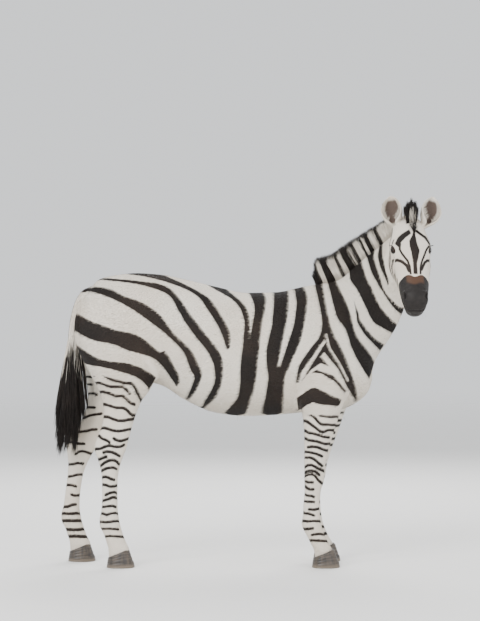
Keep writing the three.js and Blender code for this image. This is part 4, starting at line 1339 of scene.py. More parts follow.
def all_marks(points, normals):
    """The stripes of the whole skin: millimetres inside the nearest dark one, below zero outside."""
    mark = np.maximum(body_marks(points, normals), leg_marks(points))
    tail = ease((-612 - points[:, 0]) / 14) * ease((46 - np.abs(points[:, 1])) / 8)
    tail = tail * ease((points[:, 2] - 800) / 30)
    mark = mark * (1 - tail) + tail_marks(points) * tail
    head = ease((past_head_cut(points) + 4) / 22)
    mark = mark * (1 - head) + face_marks(points, normals) * head
    share, _ = ear_share(points)
    mark = mark * (1 - share) + ear_marks(points, normals) * share
    return np.clip(mark, -MARK_LIMIT, MARK_LIMIT)


# ---- materials -----------------------------------------------------------------------------------
class Nodes:
    """A material's node tree, with short calls that add nodes and return their outputs."""

    def __init__(self, name):
        self.material = bpy.data.materials.new(name)
        self.material.use_nodes = True
        self.tree = self.material.node_tree
        self.shader = self.tree.nodes["Principled BSDF"]

    def add(self, kind, inputs=(), **settings):
        node = self.tree.nodes.new(kind)
        for key, value in settings.items():
            setattr(node, key, value)
        for key, value in dict(inputs).items():
            self.set(node.inputs[key], value)
        return node

    def set(self, socket, value):
        if isinstance(value, bpy.types.NodeSocket):
            self.tree.links.new(value, socket)
        else:
            socket.default_value = value

    def shade(self, **values):
        """Set the shader's sockets, with their names written with _ for a space."""
        for key, value in values.items():
            self.set(self.shader.inputs[key.replace("_", " ")], value)

    def bump(self, height, strength, distance):
        inputs = {"Height": height, "Strength": strength, "Distance": distance}
        return self.add("ShaderNodeBump", inputs).outputs[0]

    def attribute(self, name):
        return self.add("ShaderNodeAttribute", attribute_name=name).outputs["Fac"]

    def math(self, operation, a, b=0.0, clamp=False):
        return self.add("ShaderNodeMath", {0: a, 1: b}, operation=operation, use_clamp=clamp).outputs[0]

    def blend(self, share, a, b):
        node = self.add("ShaderNodeMix", data_type="RGBA")
        self.set(node.inputs[0], share)
        self.set(node.inputs[6], a)
        self.set(node.inputs[7], b)
        return node.outputs[2]

    def step(self, value, low, high, to_low=0.0, to_high=1.0):
        inputs = {0: value, 1: low, 2: high, 3: to_low, 4: to_high}
        return self.add("ShaderNodeMapRange", inputs, interpolation_type="SMOOTHSTEP").outputs[0]

    def noise(self, scale, detail=2.0, stretch=(1, 1, 1), turn=(0, 0, 0), roughness=0.5):
        place = self.add("ShaderNodeTexCoord").outputs["Object"]
        spread = self.add("ShaderNodeMapping", {"Vector": place, "Scale": stretch, "Rotation": turn})
        inputs = {"Vector": spread.outputs[0], "Scale": scale, "Detail": detail, "Roughness": roughness}
        return self.add("ShaderNodeTexNoise", inputs).outputs["Fac"]


LIGHT_COAT = (0.78, 0.735, 0.655, 1)
DUSTY_COAT = (0.60, 0.50, 0.385, 1)
DARK_COAT = (0.011, 0.0095, 0.009, 1)
BROWN_COAT = (0.036, 0.025, 0.019, 1)
BARE_SKIN = (0.010, 0.009, 0.0085, 1)
GREY_SKIN = (0.026, 0.022, 0.0205, 1)
BROWN_SKIN = (0.072, 0.038, 0.024, 1)
# the ear's darker inner skin together with painted shade in the hollow of its cup
EAR_SKIN_AND_SHADE = (0.115, 0.085, 0.070, 1)
DARK_HORN, LIGHT_HORN, WORN_HORN = (0.022, 0.018, 0.016, 1), (0.085, 0.066, 0.05, 1), (0.16, 0.125, 0.09, 1)
PUPIL, DARK_IRIS, LIGHT_IRIS = (0.003, 0.003, 0.004, 1), (0.010, 0.005, 0.003, 1), (0.034, 0.015, 0.007, 1)
DARK_EYE_WHITE, LIGHT_EYE_WHITE = (0.020, 0.013, 0.010, 1), (0.060, 0.045, 0.036, 1)
DARK_FLOOR, LIGHT_FLOOR = (0.80, 0.79, 0.77, 1), (0.83, 0.82, 0.80, 1)


def coat_material(name, rough, bumpy):
    """The coat on skin, tufts and long hair alike: it reads the marks that each point carries."""
    n = Nodes(name)
    edge = n.math("MULTIPLY", n.math("SUBTRACT", n.noise(260, 2), 0.5), 5.0)
    dark = n.step(n.math("ADD", n.attribute("mark"), edge), -1.3, 1.3)
    patches = n.step(n.noise(3.2, 3), 0.42, 0.72)
    tint = n.attribute("tint")
    dusty = n.math("MULTIPLY", n.math("ADD", n.math("MULTIPLY", patches, 0.5), tint), 0.55, clamp=True)
    light = n.blend(dusty, LIGHT_COAT, DUSTY_COAT)
    browner = n.math("MULTIPLY", n.math("ADD", tint, patches), 0.5, clamp=True)
    black = n.blend(browner, DARK_COAT, BROWN_COAT)
    coat = n.blend(dark, light, black)
    skin = n.blend(n.attribute("nose"), n.blend(n.noise(60, 4), BARE_SKIN, GREY_SKIN), BROWN_SKIN)
    # inside the ear cups: darker skin with painted shade laid over their hollow
    coat = n.blend(n.attribute("ear"), coat, EAR_SKIN_AND_SHADE)
    ragged = n.math("ADD", n.attribute("bare"), n.math("SUBTRACT", n.noise(190, 3), 0.5))
    bare = n.step(ragged, 0.38, 0.58)
    n.shade(Base_Color=n.blend(bare, coat, skin), Roughness=n.step(bare, 0, 1, rough, 0.42))
    n.shade(Sheen_Weight=0.02, Sheen_Roughness=0.5, Specular_IOR_Level=0.14)
    if bumpy:
        trunk = n.noise(300, 3, (0.16, 1, 0.5))
        legs = n.noise(300, 3, (1, 1, 0.16))
        hair = n.add("ShaderNodeMix", {0: n.attribute("upright"), 2: trunk, 3: legs}).outputs[0]
        pores = n.noise(420, 4)
        height = n.add("ShaderNodeMix", {0: bare, 2: hair, 3: pores}).outputs[0]
        n.shade(Normal=n.bump(height, 0.55, 0.0025))
    return n.material


def hoof_material():
    n = Nodes("hoof_horn")
    rings = n.noise(34, 3, (0.3, 0.3, 4))
    streaks = n.noise(90, 3, (1, 1, 0.08))
    grain = n.math("MULTIPLY", n.math("ADD", rings, streaks), 0.5)
    base = n.blend(n.step(grain, 0.35, 0.65), DARK_HORN, LIGHT_HORN)
    above_sole = n.step(n.attribute("height"), 0.0, 22.0)
    n.shade(Base_Color=n.blend(above_sole, WORN_HORN, base), Normal=n.bump(grain, 0.5, 0.002))
    n.shade(Roughness=n.step(streaks, 0.2, 0.8, 0.38, 0.62))
    return n.material


def eye_material():
    n = Nodes("eye")
    pupil = n.step(n.attribute("pupil"), 0.92, 1.08)
    fibres = n.noise(520, 3)
    iris = n.blend(fibres, DARK_IRIS, LIGHT_IRIS)
    rim = n.step(n.attribute("iris"), 0.86, 1.02)
    white = n.blend(n.noise(180, 3), DARK_EYE_WHITE, LIGHT_EYE_WHITE)
    n.shade(Base_Color=n.blend(pupil, PUPIL, n.blend(rim, iris, white)))
    n.shade(Roughness=n.step(fibres, 0, 1, 0.05, 0.09), Specular_IOR_Level=0.1)
    n.shade(Coat_Weight=0.55, Coat_Roughness=0.02)
    return n.material


# ---- pieces --------------------------------------------------------------------------------------
def mesh_piece(name, points, faces, material, attributes=(), unwrapped=None):
    """A piece of the model from arrays: points in millimetres, triangles, a number for each point under
    each attribute's name, and where each face's corners lie on its flat map."""
    mesh = bpy.data.meshes.new(name)
    mesh.vertices.add(len(points))
    mesh.vertices.foreach_set("co", placed(points).astype(np.float32).ravel())
    mesh.loops.add(faces.size)
    mesh.loops.foreach_set("vertex_index", faces.astype(np.int32).ravel())
    mesh.polygons.add(len(faces))
    mesh.polygons.foreach_set("loop_start", np.arange(0, faces.size, 3, dtype=np.int32))
    mesh.polygons.foreach_set("use_smooth", np.ones(len(faces), bool))
    for key, values in dict(attributes).items():
        layer = mesh.attributes.new(key, "FLOAT", "POINT")
        layer.data.foreach_set("value", values.astype(np.float32))
    if unwrapped is not None:
        layer = mesh.uv_layers.new(name="OFBake")
        layer.uv.foreach_set("vector", unwrapped.astype(np.float32).ravel())
    mesh.update()
    mesh.materials.append(material)
    piece = add_object(name, mesh)
    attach(piece, "root")
    return piece


PATCH = 0.003  # how wide a tuft is on its bake map


def strands(root, way, aside, out, long, wide, thick, bend, taper):
    """Closed, tapered blades with three edges, one for each root: points, faces and where each point lies
    on its blade. taper gives how far along the blade its rings are and how full it is there."""
    count, rings = len(root), len(taper)
    wide, thick = np.broadcast_to(wide, count), np.broadcast_to(thick, count)
    points = np.empty((count, rings * 3 + 1, 3))
    spot = np.empty((rings * 3 + 1, 2))
    for i, (t, full) in enumerate(taper):
        middle = root + way * (long * t)[:, None] + bend * t * t
        points[:, i * 3] = middle - aside * (wide / 2 * full)[:, None]
        points[:, i * 3 + 1] = middle + aside * (wide / 2 * full)[:, None]
        points[:, i * 3 + 2] = middle + out * (thick * full)[:, None]
        spot[i * 3 : i * 3 + 3] = [(-0.5, t - 0.5), (0.5, t - 0.5), (0, t - 0.5)]
    points[:, -1] = root + way * long[:, None] + bend
    spot[-1] = (0, 0.5)
    faces = [(0, 1, 2)]
    for i in range(rings - 1):
        for a, b in ((0, 1), (1, 2), (2, 0)):
            low, high = i * 3, i * 3 + 3
            faces += [(low + a, high + a, low + b), (low + b, high + a, high + b)]
    last = rings * 3 - 3
    faces += [(last + a, rings * 3, last + b) for a, b in ((0, 1), (1, 2), (2, 0))]
    faces = facing_out(points[0] - points[0].mean(0), np.array(faces))
    every = faces[None] + (np.arange(count) * (rings * 3 + 1))[:, None, None]
    return points.reshape(-1, 3), every.reshape(-1, 3), spot


def hair_piece(name, material, blades, values, unwrapped):
    """A piece of many blades: each takes its root's values, or has one for each of its own points, and
    a small patch of the unwrap at its root."""
    points, faces, spot = blades
    each = len(spot)
    attributes = {}
    for key, value in values.items():
        attributes[key] = value.ravel() if value.ndim == 2 else np.repeat(value, each)
    patches = np.repeat(unwrapped, each, axis=0) + np.tile(spot * PATCH, (len(unwrapped), 1))
    patches = np.clip(patches, 0.0005, 0.9995)
    return mesh_piece(name, points, faces, material, attributes, patches[faces])


# ---- the skin's flat map -------------------------------------------------------------------------
MAP_GAP = 12.0  # millimetres between the islands of a flat map
MAP_EDGE = 0.006
TAIL_FROM_X, TAIL_HALF_WIDE = -600, 48  # the tail is behind the one and within the other


def below_trunk(places):
    """Whether places are on a leg, below the trunk."""
    return places[:, 2] < np.where(places[:, 0] < 0, 760, 700)


def parts_of(middles):
    """A number for the part of the body that each place belongs to, so that none lies over another."""
    leg = 1 + (middles[:, 0] > 0) * 2 + (middles[:, 1] > 0)
    part = np.where(below_trunk(middles), leg, 0)
    tail = (middles[:, 0] < TAIL_FROM_X) & (np.abs(middles[:, 1]) < TAIL_HALF_WIDE)
    part = np.where(tail, 9, part)
    part = np.where(past_neck_cut(middles) > 0, 5, part)
    part = np.where(past_head_cut(middles) > 0, 6, part)
    return np.where(ear_share(middles)[0] > 0.4, 7 + (middles[:, 1] > POLL[1]), part)


def flat_map(points, faces):
    """Where each corner of each face lies on a flat map: every part of the body is seen along the six axes,
    each face along the one that it faces most, and the islands are laid in rows."""
    normal = across_faces(points, faces)
    axis = np.abs(normal).argmax(1)
    sign = np.take_along_axis(normal, axis[:, None], 1)[:, 0] > 0
    island = parts_of(points[faces].mean(1)) * 6 + axis * 2 + sign
    others = np.array([[1, 2], [0, 2], [0, 1]])[axis]
    flat = np.take_along_axis(points[faces], others[:, None, :].repeat(3, 1), 2)
    boxes = []
    for name in np.unique(island):
        here = flat[island == name].reshape(-1, 2)
        boxes.append((name, here.min(0), here.max(0) - here.min(0) + MAP_GAP))
    boxes.sort(key=lambda box: -box[2][1])
    wide = math.sqrt(sum(size.prod() for _, _, size in boxes)) * 1.12
    x = y = tall = 0.0
    for name, low, size in boxes:
        if x and x + size[0] > wide:
            x, y, tall = 0.0, y + tall, 0.0
        flat[island == name] += np.array([x, y]) - low
        x, tall = x + size[0], max(tall, size[1])
    return MAP_EDGE + flat / flat.max() * (1 - 2 * MAP_EDGE)


def coat_values(points, normals):
    """What the coat's material reads at each point."""
    dust = 0.3 * ease((330 - points[:, 2]) / 250)
    tint = 0.3 + 0.35 * wavy(points, 260, 31) + 0.25 * wavy(points, 70, 32) + dust
    return {
        "mark": all_marks(points, normals),
        "bare": bare_skin(points),
        "nose": brown_nose(points),
        # the ear mask: darker inner skin plus painted shade in the hollow of each cup
        "ear": ear_skin_and_hollow_shade(points, normals),
        "tint": np.clip(tint, 0, 1),
        "upright": ease((760 - points[:, 2]) / 120),
    }


# ---- short coat ----------------------------------------------------------------------------------
def lie_of_coat(points, normals):
    """Which way the hair lies at each point, along the skin."""
    past_neck, past_head = past_neck_cut(points), past_head_cut(points)
    _, _, _, on = neck_frame(neck_places(points)[0])
    neck = ease((past_neck + 60) / 120) * (1 - ease(past_head / 60))
    trunk_way, leg_way = np.array([-1, 0, -0.35]), np.array([-0.22, 0, -1])
    way = mixed(trunk_way, leg_way, ease((820 - points[:, 2]) / 200))
    way = mixed(way, unit(-on + np.array([0, 0, -0.5])), neck)
    way = mixed(way, ALONG + 0.2 * UPRIGHT, ease((past_head + 20) / 60))
    way = mixed(way, UPRIGHT, ear_share(points)[0])
    way = mixed(way, np.array([-0.1, 0, -1]), ease((-600 - points[:, 0]) / 30))
    way = unit(way) + 0.16 * np.stack([wavy(points, 55, seed) for seed in (41, 42, 43)], -1)
    lying = way - normals * (way * normals).sum(1)[:, None]
    # Where the skin faces the way the hair goes, the hair turns backwards.
    lost = ease(1 - np.linalg.norm(lying, axis=1) / 0.4)[:, None]
    backwards = normals * normals[:, :1] - [1, 0, 0]
    return unit(lying + backwards * lost)


def scattered(points, faces, per_area, seed):
    """Places strewn over triangles, per_area of them to a square centimetre: weights of the corners."""
    draw = np.random.default_rng(seed)
    area = np.linalg.norm(across_faces(points, faces), axis=1) / 2 / 100
    share = np.cumsum(area * per_area)
    count = int(share[-1])
    chosen = np.searchsorted(share, (np.arange(count) + draw.random(count)) / count * share[-1])
    chosen = np.minimum(chosen, len(faces) - 1)
    u, v = draw.random(count), draw.random(count)
    over = u + v > 1
    u[over], v[over] = 1 - u[over], 1 - v[over]
    return chosen, np.stack([1 - u - v, u, v], -1)


def spread_over(values, weights):
    """What the corners of a face hold, at a place on it."""
    return np.einsum("nc...,nc->n...", values, weights)


# piece, its tufts to a square centimetre, length and width of a tuft, and how high its tip stands
COAT = {
    "coat_barrel_left": (5, 14, 2.4, 1.6),
    "coat_barrel_right": (5, 14, 2.4, 1.6),
    "coat_rump_left": (5, 14, 2.4, 1.6),
    "coat_rump_right": (5, 14, 2.4, 1.6),
    "coat_neck": (6, 13, 2.2, 1.6),
    "coat_forelegs": (9, 7.5, 1.5, 1.0),
    "coat_hindlegs": (9, 7.5, 1.5, 1.0),
    "coat_head": (12, 6, 1.3, 0.9),
}
BARREL_FROM = -40.0
TUFT_THICK = 0.9
TUFT_ROOT = 0.8  # how deep a tuft starts in the skin
CLEAR_OF_EYE = 17.0
ABOVE_HOOVES = 58.0


def coat_regions(middles):
    """Which piece of the coat each place belongs to."""
    side = np.where(middles[:, 1] > 0, "left", "right")
    names = np.char.add(np.where(middles[:, 0] > BARREL_FROM, "coat_barrel_", "coat_rump_"), side)
    low = below_trunk(middles)
    names[low & (middles[:, 0] > 150)] = "coat_forelegs"
    names[low & (middles[:, 0] < -150)] = "coat_hindlegs"
    names[past_neck_cut(middles) > 0] = "coat_neck"
    names[past_head_cut(middles) > 0] = "coat_head"
    return names


def make_coat(skin, material):
    points, faces, normals, values = skin
    middles = points[faces].mean(1)
    names = coat_regions(middles)
    for seed, (name, (per_area, long, wide, stand)) in enumerate(COAT.items()):
        density = per_area * 1
        here = faces[names == name]
        chosen, weights = scattered(points, here, density, 100 + seed)
        root = spread_over(points[here[chosen]], weights)
        normal = spread_over(normals[here[chosen]], weights)
        steady = np.linalg.norm(normal, axis=1) > 0.8
        normal = unit(normal)
        bare = spread_over(values["bare"][here[chosen]], weights)
        unwrapped = spread_over(flat_map(points, here)[chosen], weights)
        kept = steady & (bare < 0.85) & (eye_openings(root) > CLEAR_OF_EYE) & (root[:, 2] > ABOVE_HOOVES)
        root, normal, bare, unwrapped = root[kept], normal[kept], bare[kept], unwrapped[kept]
        draw = np.random.default_rng(200 + seed)
        count = len(root)
        size = draw.uniform(0.7, 1.25, count) * (1 - 0.6 * bare)
        if name == "coat_head":
            size *= 1 - 0.4 * ease((in_head(root)[:, 0] - 240) / 120)
        if "barrel" in name:
            size *= 1 + 0.35 * ease((-normal[:, 2] - 0.3) / 0.5)
        way = lie_of_coat(root, normal)
        side = np.cross(normal, way)
        way = unit(way + side * draw.normal(0, 0.16, count)[:, None])
        aside = np.cross(normal, way)
        lengths = long * size
        rise = (stand * draw.uniform(0.6, 1.4, count) * np.minimum(size, 1))[:, None]
        tip = way * lengths[:, None] + normal * (rise + TUFT_ROOT)
        lengths = np.linalg.norm(tip, axis=1)
        start, straight = root - normal * TUFT_ROOT, np.zeros_like(root)
        ways = unit(tip), aside, normal
        blades = strands(start, *ways, lengths, wide * size, TUFT_THICK, straight, [(0, 1)])
        found = coat_values(root, normal)
        found["tint"] = np.clip(found["tint"] + draw.normal(0, 0.22, count), 0, 1)
        found["mark"] = found["mark"] + draw.normal(0, 0.9, count)
        hair_piece(name, material, blades, found, unwrapped)


# ---- mane, forelock and tail ---------------------------------------------------------------------
def clumped(root, tip_way, lengths, clump, pull):
    """How far strands bend so that their tips draw together in each clump."""
    _, index = np.unique(clump, return_inverse=True)
    tips = root + tip_way * lengths[:, None]
    middle = np.stack([np.bincount(index, tips[:, axis]) for axis in range(3)], -1)
    middle = middle / np.bincount(index)[:, None]
    return (middle[index] - tips) * pull


LONG_TAPER = [(0, 0.8), (0.35, 1), (0.72, 0.7)]
SWITCH_TAPER = [(0, 0.7), (0.15, 1), (0.35, 1), (0.55, 0.95), (0.75, 0.8), (0.9, 0.5)]
ALL_DARK, ALL_LIGHT = 20.0, -20.0  # marks of strands of one colour
NO_DARK_TIP = 2.0


def long_hair(name, material, roots, shape, look, unwrapped=None, taper=LONG_TAPER):
    """A piece of long strands. roots says where each starts, its way and the way across it. shape is
    its length, width, thickness and bend. look is its mark, its tint and where on it the dark tip starts."""
    root, way, aside = roots
    lengths, wide, thick, bend = shape
    mark, tint, dark_after = (np.broadcast_to(number, len(root)) for number in look)
    blades = strands(root, way, aside, np.cross(aside, way), lengths, wide, thick, bend, taper)
    t = blades[2][:, 1] + 0.5
    values = {"mark": np.maximum(mark[:, None], (t[None] - dark_after[:, None]) * 60), "tint": tint}
    values.update({key: np.zeros(len(root)) for key in ("bare", "nose", "ear", "upright")})
    if unwrapped is None:
        in_a_row = 0.05 + 0.9 * np.arange(len(root)) / len(root)
        unwrapped = np.stack([in_a_row, np.full(len(root), 0.5)], -1)
    hair_piece(name, material, blades, values, unwrapped)


MANE_STRANDS, QUICK_MANE_STRANDS = 5200, 1200
MANE_DARK_LINE = 344.5  # thin lines across the mane, by their pixel on the crest
MANE_LIGHT_LINES = (357.5, 370.2)


def make_mane(material):
    draw = np.random.default_rng(7)
    count = MANE_STRANDS
    t = 0.085 + 0.875 * np.sort(draw.random(count))
    row = draw.uniform(-1, 1, count)
    _, up, left, on = neck_frame(t)
    rise = unit(up)
    grown = ease((t - 0.02) / 0.14)
    clump = np.floor(t * 120 + 0.6 * draw.random(count)) * 3 + np.round(row)
    own = np.random.default_rng(8).random(1000)[clump.astype(int) % 1000]
    lower = 0.6 * (1 - ease((t - 0.07) / 0.08)) + 0.48 * t + 0.05 * ease((t - 0.7) / 0.25)
    tall = MANE_TALL * (1 - lower) * (0.9 + 0.1 * own + 0.08 * draw.random(count))
    lean = -0.12 + 0.22 * grown * (1 - t) + 0.05 * (own - 0.5) + draw.normal(0, 0.03, count)
    way = unit(rise + left * (0.09 * row)[:, None] + on * lean[:, None])
    root = crest(t) - 9 * rise + left * (13 * row * (0.5 + 0.5 * grown))[:, None]
    lengths = tall + 7 - 20 * ease((t - 0.9) / 0.07)
    bend = clumped(root, way, lengths, clump, 0.5)
    bend = bend + on * draw.normal(0, 5, count)[:, None] + left * draw.normal(0, 4, count)[:, None]
    turn = draw.uniform(0, np.pi, count)
    aside = unit(np.cross(way, left * np.cos(turn)[:, None] + on * np.sin(turn)[:, None]))
    shape = lengths, draw.uniform(1.8, 3.2, count), 1.1, bend
    mark = body_marks(crest(t) + left * (10 * row)[:, None], rise)
    seen = photo_point(crest(t))[:, 0]
    mark = np.maximum(mark, 6 - np.abs(seen - MANE_DARK_LINE) * PIXEL)
    for light in MANE_LIGHT_LINES:
        mark = np.minimum(mark, np.abs(seen - light) * PIXEL - 5)
    tint = np.clip(0.35 + 0.3 * (own - 0.5) + draw.normal(0, 0.15, count), 0, 1)
    dark_after = draw.uniform(0.80, 0.93, count)
    look = mark + draw.normal(0, 2.5, count), tint, dark_after
    unwrapped = np.stack([0.02 + 0.96 * t, 0.5 + 0.45 * row], -1)
    long_hair("mane", material, (root, way, aside), shape, look, unwrapped)


FORELOCKS, FALLING_LOCKS = 28, 9
FORELOCK_STRANDS, QUICK_FORELOCK_STRANDS = 62, 16  # to a lock
FORELOCK_TOP = 1684.0
FALL_TIP = (115, 13, 90)  # where the falling locks end, in the head's own directions


def make_forelock(material):
    """Upright locks between the ears, and some in front that fall over the forehead to one tip."""
    draw = np.random.default_rng(17)
    lock = np.repeat(np.arange(FORELOCKS), FORELOCK_STRANDS)
    count = len(lock)
    own = np.random.default_rng(18).random((FORELOCKS, 3))[lock]
    falls = lock < FALLING_LOCKS
    behind = (lock - FALLING_LOCKS + 0.5) / (FORELOCKS - FALLING_LOCKS)
    back = np.where(falls, 0.16 * own[:, 1], behind)
    row = np.where(falls, 0.35 + 0.9 * (lock / (FALLING_LOCKS - 1) - 0.5), (lock * 2) % 5 / 2 - 1)
    along = 46 - 112 * back
    top = smooth_rows(HEAD)(along)[:, 0]
    spread = draw.normal(0, 5, (count, 2))
    root = np.stack([along + spread[:, 0], 10 + 15 * row + spread[:, 1], top - 8], -1)
    root = root @ HEAD_AXES + POLL
    upright = np.stack([0.2 * row, -0.16 + 0.1 * back, np.ones(count)], -1)
    way = unit(np.where(falls[:, None], 0.7 * ALONG + 0.62 * RISE, upright))
    tip_high = FORELOCK_TOP - 30 * np.abs(row) ** 1.4 - 14 * own[:, 0] + draw.normal(0, 4, count)
    lengths = np.where(falls, 82 + 6 * own[:, 2], (tip_high - root[:, 2]) / way[:, 2])
    tip = head_point(*FALL_TIP) + draw.normal(0, 2.2, (count, 3))
    tip = tip - np.outer(18 * own[:, 0] * draw.random(count), ALONG)
    bend = clumped(root, way, lengths, lock, 0.75) + draw.normal(0, 3, (count, 3))
    bend = np.where(falls[:, None], tip - root - way * lengths[:, None], bend)
    aside = unit(np.cross(way, draw.normal(size=(count, 3))))
    shape = lengths, draw.uniform(1.0, 1.9, count), 0.8, bend
    mark = 9 * np.sin(lock * 2.1) + 5 * falls + draw.normal(0, 3, count)
    tint = np.clip(0.4 + draw.normal(0, 0.2, count), 0, 1)
    look = mark, tint, draw.uniform(0.5, 0.75, count)
    unwrapped = np.stack([0.05 + 0.9 * back, 0.5 + 0.35 * row], -1)
    long_hair("forelock", material, (root, way, aside), shape, look, unwrapped)


SWITCH_LOCKS = 44
SWITCH_STRANDS, QUICK_SWITCH_STRANDS = 40, 12  # to a lock
SWITCH_END = 700  # how high the highest strands of the switch end, and its lowest 200 lower


def make_switch(material):
    """The long hair of the tail."""
    draw = np.random.default_rng(27)
    lock = np.repeat(np.arange(SWITCH_LOCKS), SWITCH_STRANDS)
    count = len(lock)
    down = (lock + 0.5) / SWITCH_LOCKS
    t = 0.42 + 0.56 * down + draw.uniform(-0.02, 0.02, count)
    angle = lock * 2.4 + draw.normal(0, 0.3, count)
    out = np.stack([np.cos(angle), 0.72 * np.sin(angle), np.zeros(count)], -1)
    spread = 1 - 0.35 * down
    forward = 0.25 - 0.04 * (out[:, 0] > 0)
    way = unit(np.stack([forward * out[:, 0] * spread, 0.21 * out[:, 1] * spread, -np.ones(count)], -1))
    across = dock_row(np.clip(t, 0, 1))[:, 2]
    root = dock_point(t) + out * (across * 0.5)[:, None]
    end = SWITCH_END - 200 * down + draw.normal(0, 18, count)
    lengths = root[:, 2] - end
    curl = np.stack([-out[:, 0] * 28 * spread - 22 * down, -out[:, 1] * 24 * spread, np.zeros(count)], -1)
    bend = curl + clumped(root, way, lengths, lock, 0.45) + draw.normal(0, 4, (count, 3)) * [1, 1, 0.4]
    aside = unit(np.cross(way, draw.normal(size=(count, 3))))
    shape = lengths, draw.uniform(2.0, 3.6, count), 1.3, bend
    tint = np.clip(0.45 + draw.normal(0, 0.25, count), 0, 1)
    dark_after = 0.12 + 0.2 * draw.random(count) + 0.25 * (draw.random(count) < 0.16)
    look = -10 + 8 * down + draw.normal(0, 4, count), tint, dark_after
    unwrapped = np.stack([0.05 + 0.9 * down, (angle % (2 * np.pi)) / 6.6 + 0.02], -1)
    long_hair("tail_switch", material, (root, way, aside), shape, look, unwrapped, SWITCH_TAPER)


# ---- eyes, hooves and fine hair ------------------------------------------------------------------
PUPIL_HALVES, IRIS_HALVES = (7.6, 4.4), (15.5, 13.5)  # half their widths and half their heights
CORNEA_OUT, CORNEA_REACH = 2.2, 0.62  # in millimetres and radians


def make_eye(side, name, material):
    corners, up, out = eye_axes(side)
    polar = np.linspace(0, np.pi, 65)[1:-1]
    turn = np.linspace(0, 2 * np.pi, 97)[:-1]
    r = EYE_R + CORNEA_OUT * np.exp(-((polar / CORNEA_REACH) ** 4))
    ring = np.cos(turn)[None, :, None] * corners + np.sin(turn)[None, :, None] * up
    rings = (r * np.sin(polar))[:, None, None] * ring + (r * np.cos(polar))[:, None, None] * out
    points, faces = over_rings(rings + eye_middle(side))
    a, b, o, _ = in_eye(points, side)
    values = {}
    for part, (wide, tall) in (("pupil", PUPIL_HALVES), ("iris", IRIS_HALVES)):
        values[part] = np.where(o > 0, np.hypot(a / wide, b / tall), 9)
    piece = mesh_piece(name, points, faces, material, values)
    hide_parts(name.replace("eyeball", "eye"))


# height, heel, toe, half width
HOOF = [
    [0, 0, 128, 52],
    [8, 1, 128, 53],
    [40, 6, 117, 48],
    [70, 12, 107, 44],
    [96, 16, 97, 41],
]
HOOF_RINGS, HOOF_SIDES = 46, 72
RIDGE = 0.7  # how high the growth rings stand
CORONET = 52.0  # how high the top of a hoof is at the heel
CORONET_SLOPE = 0.368 / 0.93  # and how much it rises to the toe


def make_hoof(node, x0, side, material):
    """A hoof with its growth rings, which run round it like the coronet."""
    shares = np.concatenate([[0.012], np.linspace(0.03, 0.985, HOOF_RINGS)])
    s, c = ring_angles(HOOF_SIDES)
    heel = np.where(c < 0, -np.abs(c) ** 0.72, c)
    rings = []
    for share in shares:
        x, z = np.full(len(c), 60.0), np.zeros(len(c))
        for _ in range(4):
            z = share * (CORONET + CORONET_SLOPE * (x - 14))
            back, front, half = smooth_rows(HOOF)(z).T
            x = (back + front) / 2 + (front - back) / 2 * heel
        ridge = RIDGE * np.sin(share * 31 + 0.5 * np.sin(share * 9)) - 3.0 * ease((share - 0.9) / 0.09)
        inset = -1.2 * ease((0.03 - share) / 0.02)
        x = x + (ridge + inset) * c
        y = (half + ridge + inset) * s
        rings.append(np.stack([x0 + x, side * FOOT_Y + y, np.maximum(z, 0)], -1))
    base = np.array([x0 + 62, side * FOOT_Y, 0.0])
    sole = [base + (rings[0] - base) * share * [1, 1, 0] for share in (0.5, 0.8, 0.97)]
    crown = rings[-1].mean(0)
    top = [crown + (rings[-1] - crown) * share + [0, 0, -3.0] for share in (0.85, 0.5)]
    points, faces = over_rings(np.stack([*sole, *rings, *top]))
    name = node.replace("hoof_", "fine_hoof_")
    piece = mesh_piece(name, points, faces, material, {"height": points[:, 2]})
    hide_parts(node)


LASH_ROWS = ((1, UPPER_LID, 46, 1), (-1, LOWER_LID, 22, 0.5))  # up or down, lid, lashes, length
LASH_SPREAD = EYE_CORNER * 0.8
WHISKERS = 64
EAR_HAIRS, QUICK_EAR_HAIRS = 420, 90  # to an ear


def make_lashes(material):
    draw = np.random.default_rng(37)
    roots, ways, sides, longs = [], [], [], []
    for side in SIDES.values():
        corners, up, out = eye_axes(side)
        for row, (lid, turn, count, long) in enumerate(LASH_ROWS):
            a = draw.uniform(-0.82, 0.82, count)
            slant = np.arctan(np.tan(turn) * (1 - a**2) ** 0.75) + 0.06
            flat = np.sqrt(np.maximum((EYE_R + 3.2) ** 2 - (a * LASH_SPREAD) ** 2, 60))
            root = eye_middle(side) + np.outer(a * LASH_SPREAD, corners)
            root = root + np.outer(flat * np.cos(slant), out) + np.outer(flat * np.sin(slant) * lid, up)
            way = out + np.outer(0.45 * a, corners) + (0.25 - 0.35 * row) * lid * up - 0.25 * UPRIGHT
            roots.append(root)
            ways.append(unit(way + draw.normal(0, 0.1, (count, 3))))
            sides.append(np.tile(corners, (count, 1)))
            longs.append(draw.uniform(13, 19, count) * long)
    root, way = np.concatenate(roots), np.concatenate(ways)
    aside = unit(np.cross(way, np.concatenate(sides)))
    shape = np.concatenate(longs), 0.55, 0.45, np.tile(UPRIGHT * 3.0, (len(root), 1))
    long_hair("eyelashes", material, (root, way, aside), shape, (ALL_DARK, 0.3, NO_DARK_TIP))


def make_whiskers(skin, material):
    points, _, normals, _ = skin
    draw = np.random.default_rng(47)
    along, _, up = in_head(points).T
    low = (along > 392) & (up < 6) & (normals @ ALONG + 0.4 * np.abs(normals @ LEFT) > 0.05)
    chosen = draw.choice(np.flatnonzero(low), WHISKERS, replace=False)
    root, normal = points[chosen] - normals[chosen], normals[chosen]
    way = unit(normal + 0.4 * ALONG + np.array([0, 0, -0.25]) + draw.normal(0, 0.15, normal.shape))
    aside = unit(np.cross(way, UPRIGHT + 0.1))
    shape = draw.uniform(10, 30, len(root)), 0.5, 0.4, np.tile([0, 0, -5.0], (len(root), 1))
    long_hair("whiskers", material, (root, way, aside), shape, (ALL_DARK, 0.3, NO_DARK_TIP))


